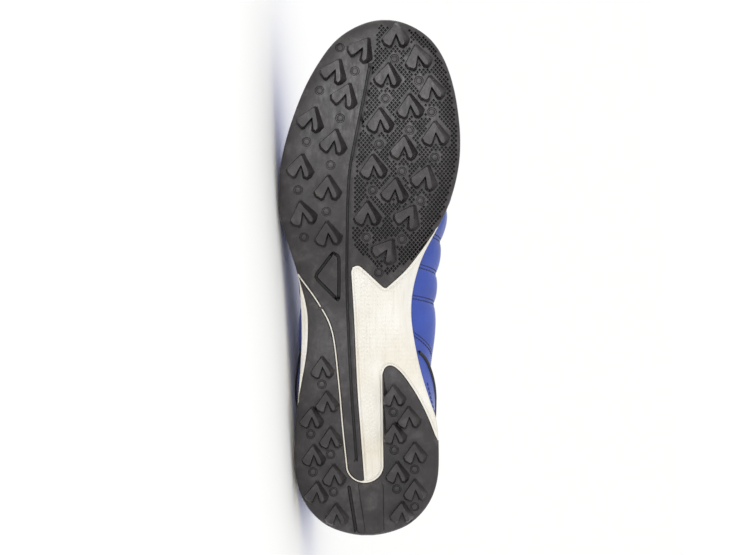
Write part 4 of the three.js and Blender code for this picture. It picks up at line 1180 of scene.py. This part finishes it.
def eyestay():
    loops, holes = {}, {}
    u = np.linspace(chartAt(0.29), chartAt(0.76), 330)
    lines = {side: (np.interp(u, evenU, stayV[side]), np.interp(u, evenU, trimV[side])) for side in (-1, 1)}
    front = min(u[low < high - 0.6].max() for low, high in lines.values())
    for side, (low, high) in lines.items():
        keep = (low < high - 0.6) & (u <= front)
        loops[side] = bandLoop(np.append(u[keep], front + 0.6), np.append(low[keep], 90),
                               np.append(high[keep], 90))
        holes[side] = eyeletRings(side)
    piece = surfaceShell("eyestayLeather", loops, {}, holes, [(2.0, (chartAt(0.29), chartAt(0.76)))],
                         lambda c, side: shoe["clearance"] + 0.9, lambda c, side: 0.06, leather, 0.35, 0.0)


counterU = np.linspace(0, chartAt(0.37), 150)
counterV = {side: crossingV(counterU, side, [insideCounter], 1.0, 60.0) for side in (-1, 1)}


def heelCounter():
    loops = {}
    for side in (-1, 1):
        keep = counterV[side] > 2.4
        loops[side] = bandLoop(counterU[keep], np.full(keep.sum(), 1.8), counterV[side][keep])
    piece = surfaceShell("counterLeather", loops, {}, {}, [(2.2, (1.0, chartAt(0.36)))],
                         lambda c, side: 1.6, lambda c, side: 0.3, leather, 0.4, 0.0)
    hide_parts("heel_counter")


def tubeAlong(path, radius, sides=10, flat=1.0, wide=None):
    path = np.asarray(path, float)
    tangent = np.gradient(path, axis=0)
    tangent /= np.linalg.norm(tangent, axis=1)[:, None] + 1e-12
    reference = np.array([0.0, 0.0, 1.0]) if wide is None else wide
    aside = reference - (reference * tangent).sum(-1)[:, None] * tangent
    aside /= np.linalg.norm(aside, axis=1)[:, None] + 1e-12
    other = np.cross(tangent, aside)
    turns = np.linspace(0, 2 * math.pi, sides, endpoint=False)
    radius = np.broadcast_to(radius, (len(path),))
    flat = np.broadcast_to(flat, (len(path),))
    # a squared-off oval, so that a flat tape keeps even edges
    cos, sin = [np.sign(f(turns)) * np.abs(f(turns)) ** 0.7 for f in (np.cos, np.sin)]
    points = (path[:, None] + radius[:, None, None] * cos[None, :, None] * aside[:, None]
              + (radius * flat)[:, None, None] * sin[None, :, None] * other[:, None]).reshape(-1, 3)
    faces = []
    for i in range(len(path) - 1):
        for j in range(sides):
            a, b = i * sides + j, i * sides + (j + 1) % sides
            faces.append((a, b, b + sides, a + sides))
    faces.append(tuple(range(sides))[::-1])
    faces.append(tuple((len(path) - 1) * sides + j for j in range(sides)))
    return points, faces


def joined(parts):
    points, faces, total = [], [], 0
    for partPoints, partFaces in parts:
        points.append(partPoints)
        faces += [tuple(i + total for i in face) for face in partFaces]
        total += len(partPoints)
    return np.vstack(points), faces


def heelPiping():
    runs = []
    for side in (-1, 1):
        keep = counterV[side] > 1.9
        runs.append(upperAt(counterU[keep], counterV[side][keep] + 0.9, side, 1.5, 0))
    points, faces = tubeAlong(np.vstack([runs[0][::-1], runs[1][1:]]), 1.1)
    piece = makePiece("pipingCord", points, faces, blackTrim, 60)
    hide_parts("heel_piping")


def lineBridge():
    # the small rubber bar that crosses the white line beside the bare recess
    size = {"at": 128.6, "reach": 1.5, "radius": 0.75}
    middle = np.argmin(np.abs(foamRun[:, 0] - size["at"]))
    along = foamRun[middle + 1] - foamRun[middle - 1]
    across = np.array((-along[1], along[0])) / np.hypot(*along)
    plan = foamRun[middle] + across * np.linspace(-1, 1, 7)[:, None] * size["reach"]
    path = np.column_stack([plan, undersideAt(plan[:, 0], plan[:, 1]) + 0.35])
    points, faces = tubeAlong(path, size["radius"])
    piece = makePiece("lineBridge", points, faces, rubber, 60)


def stitchRow(path, normals, pitch, length, radius):
    path = np.asarray(path, float)
    gaps = np.linalg.norm(np.diff(path, axis=0), axis=1)
    reach = np.concatenate([[0], np.cumsum(gaps)])
    parts = []
    for start in np.arange(0.3, reach[-1] - length, pitch):
        t = start + length * np.array([0, 0.14, 0.36, 0.64, 0.86, 1])
        spots = np.column_stack([np.interp(t, reach, path[:, i]) for i in range(3)])
        out = np.column_stack([np.interp(t, reach, normals[:, i]) for i in range(3)])
        lift = radius * np.array([-1.2, -0.1, 0.45, 0.45, -0.1, -1.2])
        parts.append(tubeAlong(spots + out * lift[:, None], radius, 6, 1.0, out))
    return parts


def surfaceRun(run, side, grow, puff=1.0):
    u, v = run[:, 0], run[:, 1]
    return upperAt(u, v, side, grow, puff), upperAt(u, v, side, grow + 1.0, 0) - upperAt(u, v, side, grow, 0)


def seamStitches():
    size = {"radius": 0.32, "pitch": 2.1, "length": 1.75, "dotLength": 1.0, "dotPitch": 1.6,
            "thinRadius": 0.26, "thinPitch": 2.6, "thinLength": 2.1, "collarPitch": 2.8, "collarLength": 2.2,
            "underCollar": 4.5, "aboveFoam": 7.0, "inFromStay": 2.4, "inFromThroat": 2.6}
    thin = (size["thinPitch"], size["thinLength"], size["thinRadius"])
    parts = []
    for side in (-1, 1):
        trim, stay = trimV[side], stayV[side]
        rows = []   # where on the chart, how far out, share of the puff, pitch, length, radius
        for along, lean in seamRows:
            for offset, pitch, length in ((-quilt["band"], size["pitch"], size["length"]),
                                          (quilt["band"], size["dotPitch"], size["dotLength"])):
                run = seamRun(side, along, lean, offset, 3.0, 60.0)
                top = np.interp(run[:, 0], evenU, np.minimum(trim - 5.5, stay))
                rows.append((run[run[:, 1] < top], 0.0, 1.0, pitch, length, size["radius"]))
        u = counterU[counterU < chartAt(0.3)]
        rows.append((np.column_stack([u, np.full(len(u), size["aboveFoam"])]), 1.6, 0.0, *thin))
        line = np.column_stack([evenU, trim - size["underCollar"]])[evenU < chartAt(0.335)]
        rows.append((line, 0.0, 1.0, size["collarPitch"], size["collarLength"], size["thinRadius"]))
        onStay = (evenU > chartAt(0.335)) & (stay < 88) & (stay + size["underCollar"] < trim)
        rows.append((np.column_stack([evenU, stay + size["inFromStay"]])[onStay], 1.2, 0.0, *thin))
        onThroat = (evenU > chartAt(0.372)) & (trim < 88)
        rows.append((np.column_stack([evenU, trim - size["inFromThroat"]])[onThroat], 1.2, 0.0, *thin))
        for run, grow, puff, pitch, length, radius in rows:
            path, normals = surfaceRun(run, side, grow, puff)
            parts += stitchRow(path, normals, pitch, length, radius)
    piece = makePiece("upperStitches", *joined(parts), thread, 60)


# What lies over the throat takes its height from the upper's own top
topU, topV = np.meshgrid(np.linspace(chartAt(0.2), chartAt(0.8), 150), np.linspace(36, 90, 60), indexing="ij")


def topTree():
    corners, faces = [], []
    for side in (-1, 1):
        first = len(corners)
        corners += [Vector(p) for p in upperAt(topU, topV, side, 0, 0).reshape(-1, 3)]
        rows, columns = topU.shape
        for i in range(rows - 1):
            for j in range(columns - 1):
                a = first + i * columns + j
                face = (a, a + columns, a + columns + 1, a + 1)
                faces.append(face if side < 0 else face[::-1])
    return BVHTree.FromPolygons(corners, faces)


overTop = topTree()


def onTop(x, y, out):
    place, normal, index, distance = overTop.ray_cast(Vector((x, y, 300)), Vector((0, 0, -1)))
    slopes = [overTop.ray_cast(Vector((x + dx, y + dy, 300)), Vector((0, 0, -1)))[0]
              for dx, dy in ((2, 0), (-2, 0), (0, 2), (0, -2))]
    if place is None or None in slopes:
        raise ValueError("nothing of the upper lies under %.1f, %.1f" % (x, y))
    normal = (slopes[0] - slopes[1]).cross(slopes[2] - slopes[3]).normalized()
    return np.array(place) + np.array(normal) * out


def paddedTongue():
    size = {"columns": 84, "rows": 34, "start": 0.317, "end": 0.679, "roundedEnd": 15, "squareEnd": 0.45,
            "deep": -2.4, "thick": 3.1, "edge": 1.7, "soft": 7, "edgeDrop": 1.6, "sideDrop": 1.5,
            "channel": 6.0, "channelDepth": 0.55, "channelWidth": 0.7, "rib": 0.35, "ribPitch": 17,
            "bulge": 0.8}
    columns, rows = size["columns"], size["rows"]
    along = np.linspace(size["start"], size["end"], columns) * shoe["length"]
    top, bottom = [], []
    for x in along:
        end = min(x - along[0], along[-1] - x)
        half = float(tongueShape(x / shoe["length"])) * shoe["tongueWidth"]
        rounded = math.sqrt(1 - (1 - min(end / size["roundedEnd"], 1)) ** 2)
        half *= size["squareEnd"] + (1 - size["squareEnd"]) * rounded
        for t in np.linspace(-1, 1, rows):
            edge = min((1 - abs(t)) * half, end)
            puffed = 1 - (1 - np.clip(edge / size["soft"], 0, 1)) ** 2
            groove = size["channelDepth"] * math.exp(-((edge - size["channel"]) / size["channelWidth"]) ** 2)
            ribs = size["rib"] * math.cos(2 * math.pi * x / size["ribPitch"])
            ribs *= smoothStep((edge - size["soft"]) / 4)
            drop = (1 - puffed) * size["edgeDrop"]
            drop += size["sideDrop"] * smoothStep((abs(t) * half - size["soft"]) / 6)
            high = size["deep"] - drop - groove + ribs
            y = float(ridgeMiddle(x)) + t * half
            top.append(onTop(x, y, high))
            bottom.append(onTop(x, y, high - blend(size["edge"], size["thick"], puffed)))
    n = len(top)
    faces = []
    for i in range(columns - 1):
        for j in range(rows - 1):
            a = i * rows + j
            faces.append((a, a + rows, a + rows + 1, a + 1))
            faces.append(tuple(n + q for q in (a + 1, a + rows + 1, a + rows, a)))
    rimIds = ([i * rows for i in range(columns)] + [(columns - 1) * rows + j for j in range(1, rows)]
              + [i * rows + rows - 1 for i in range(columns - 2, -1, -1)] + list(range(rows - 2, 0, -1)))
    top, bottom = np.array(top), np.array(bottom)
    rim = (top[rimIds] + bottom[rimIds]) / 2
    outward = np.cross(np.roll(rim, -1, 0) - np.roll(rim, 1, 0), top[rimIds] - bottom[rimIds])
    outward /= np.linalg.norm(outward, axis=1)[:, None] + 1e-12
    outward *= np.sign((outward * (rim - rim.mean(0))).sum(1))[:, None]
    count = len(rimIds)
    for j in range(count):
        k = (j + 1) % count
        faces.append((rimIds[k], rimIds[j], 2 * n + j, 2 * n + k))
        faces.append((2 * n + k, 2 * n + j, n + rimIds[j], n + rimIds[k]))
    points = np.vstack([top, bottom, rim + outward * size["bulge"]])
    piece = makePiece("tonguePad", points, faces, tongueLeather, 50, fixNormals=True)
    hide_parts("tongue")


def sockInsole():
    size = {"thick": 4.0, "lift": 1.8, "inset": 2.7, "filler": 4.0, "rim": 1.5, "rimDrop": 0.8,
            "foreRise": 0.5, "heelRise": 1.5}
    u = np.linspace(0, chartLength, 120)
    sides = {side: upperAt(u, 0.5, side, -size["inset"], 0)[:, :2] for side in (-1, 1)}
    loop = tidyLoop(np.vstack([sides[-1], sides[1][::-1]]), 0.8)
    inner = shiftRun(loop, -size["rim"], closed=True)
    filler = [(spot, 0) for spot in fillerSpots(loop, size["filler"], 2.5)]
    plan, faces, level = triangulate([(loop, 0, True), (inner, 0, True)], filler, lambda c: isInside(c, loop))
    base = biteAt(plan[:, 0]) + size["lift"] + 2 * shoe["clearance"]
    s = plan[:, 0] / shoe["length"]
    across = np.abs(plan[:, 1] - soleCentre(s) * widthAt(s)) / (soleHalf(s) * widthAt(s) + 1)
    rise = size["foreRise"] + size["heelRise"] * smoothStep((0.5 - s) / 0.3)
    rise *= smoothStep((across - 0.4) / 0.5)
    rim = size["rimDrop"] * (1 - np.clip(distanceTo(plan, loop) / size["rim"], 0, 1)) ** 2
    points, solid = plateSolid(plan, faces, base, base + size["thick"] + rise - rim, [])
    piece = makePiece("sockInsole", points, solid, liningCloth, 40)
    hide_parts("insole")


def smoothPath(points, count):
    pairs = [smoothRun(points[:, [0, i]], count) for i in (1, 2)]
    return np.column_stack([pairs[0], pairs[1][:, 1]])


def lacing():
    size = {"width": 5.5, "thick": 1.4, "narrow": 3.3, "narrowFlat": 0.62, "over": 2.1, "under": -3.1,
            "aboveOther": 1.25, "belowOther": -0.55, "steps": 6}
    parts = []
    for start in (-1, 1):
        # each stop: along, across, height over the leather, share of the full width
        x, middle, away = eyeletPlaces[0]
        stops = [(x, middle, size["over"], 1.0), (x, middle + start * 0.5 * away, size["over"], 1.0),
                 (x, middle + start * (away - 3), size["over"] - 0.1, 0.9),
                 (x, middle + start * away, 0.9, 0), (x, middle + start * away, -0.8, 0)]
        side = start
        for i in range(eyelets["count"] - 1):
            (x0, middle0, away0), (x1, middle1, away1) = eyeletPlaces[i], eyeletPlaces[i + 1]
            isUnder = i == 0
            near = size["under"] if isUnder else size["over"]
            span = away0 + away1
            edgeShare = (away0 - float(throatHalf(np.array(x0)))) / span
            farShare = 1 - (away1 - float(throatHalf(np.array(x1)))) / span
            lift = size["aboveOther"] if start * (1 if i % 2 else -1) > 0 else size["belowOther"]
            rows = [(0.12, near - (0.3 if isUnder else 0.1), 0.9),
                    (edgeShare, near + (0.2 if isUnder else 0.0), 1.0),
                    (blend(edgeShare, 0.5, 0.5), 0.55 + 0.5 * lift if not isUnder else -0.9, 1.0),
                    (0.5, lift, 1.0), (blend(0.5, farShare, 0.55), -0.9 + 0.3 * lift, 1.0),
                    (farShare, size["under"] + 0.2, 1.0), (0.9, size["under"], 0.9)]
            stops += [(blend(x0, x1, t), blend(middle0 + side * away0, middle1 - side * away1, t), out, wide)
                      for t, out, wide in rows]
            side = -side
            stops += [(x1, middle1 + side * away1, -1.2, 0), (x1, middle1 + side * away1, 0.6, 0)]
        stops.pop()   # the end stays down in the top eyelet
        places = np.array([onTop(x, y, out) for x, y, out, wide in stops])
        widths = np.array([[wide, 0, 0] for x, y, out, wide in stops])
        aside = np.array([onTop(x - 2, y, 0) - onTop(x + 2, y, 0) for x, y, out, wide in stops])
        steps = (len(stops) - 1) * size["steps"]
        share = np.clip(smoothPath(widths, steps)[:, 0], 0, 1)
        radius = blend(size["narrow"], size["width"], share) / 2
        flat = blend(size["narrowFlat"], size["thick"] / size["width"], share)
        parts.append(tubeAlong(smoothPath(places, steps), radius, 14, flat, smoothPath(aside, steps)))
    piece = makePiece("flatLace", *joined(parts), laceCloth, 60)
    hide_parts("lace")


upperLeather()
print("upper made")
collarLining()
eyestay()
heelCounter()
heelPiping()
lineBridge()
seamStitches()
print("overlays and stitches made")
paddedTongue()
sockInsole()
lacing()
print("tongue, insole and lace made")


def studio():
    look = {"floor": "#fbfbfa", "world": 1.04,
            "lights": [("keyLight", (-0.45, -0.95, 0.06), 0.4, 5.0)]}
    bpy.context.scene.view_settings.view_transform = "Standard"
    world = bpy.data.worlds.new("studio")
    world.use_nodes = True
    world.node_tree.nodes["Background"].inputs[0].default_value = (1, 1, 1, 1)
    world.node_tree.nodes["Background"].inputs[1].default_value = look["world"]
    bpy.context.scene.world = world
    mesh = bpy.data.meshes.new("floor")
    mesh.from_pydata([(-12, -12, 0), (12, -12, 0), (12, 12, 0), (-12, 12, 0)], [], [(0, 1, 2, 3)])
    floor = bpy.data.objects.new("floor", mesh)
    bpy.context.scene.collection.objects.link(floor)
    surface = {"Base Color": fromHex(look["floor"]), "Roughness": 0.9}
    mesh.materials.append(newMaterial("paleFloor", surface)[0])
    for name, place, size, power in look["lights"]:
        data = bpy.data.lights.new(name, "AREA")
        data.energy = power
        data.size = size
        light = bpy.data.objects.new(name, data)
        light.location = place
        light.rotation_euler = (Vector((0, 0, 0.05)) - Vector(place)).to_track_quat("-Z", "Y").to_euler()
        bpy.context.scene.collection.objects.link(light)


studio()
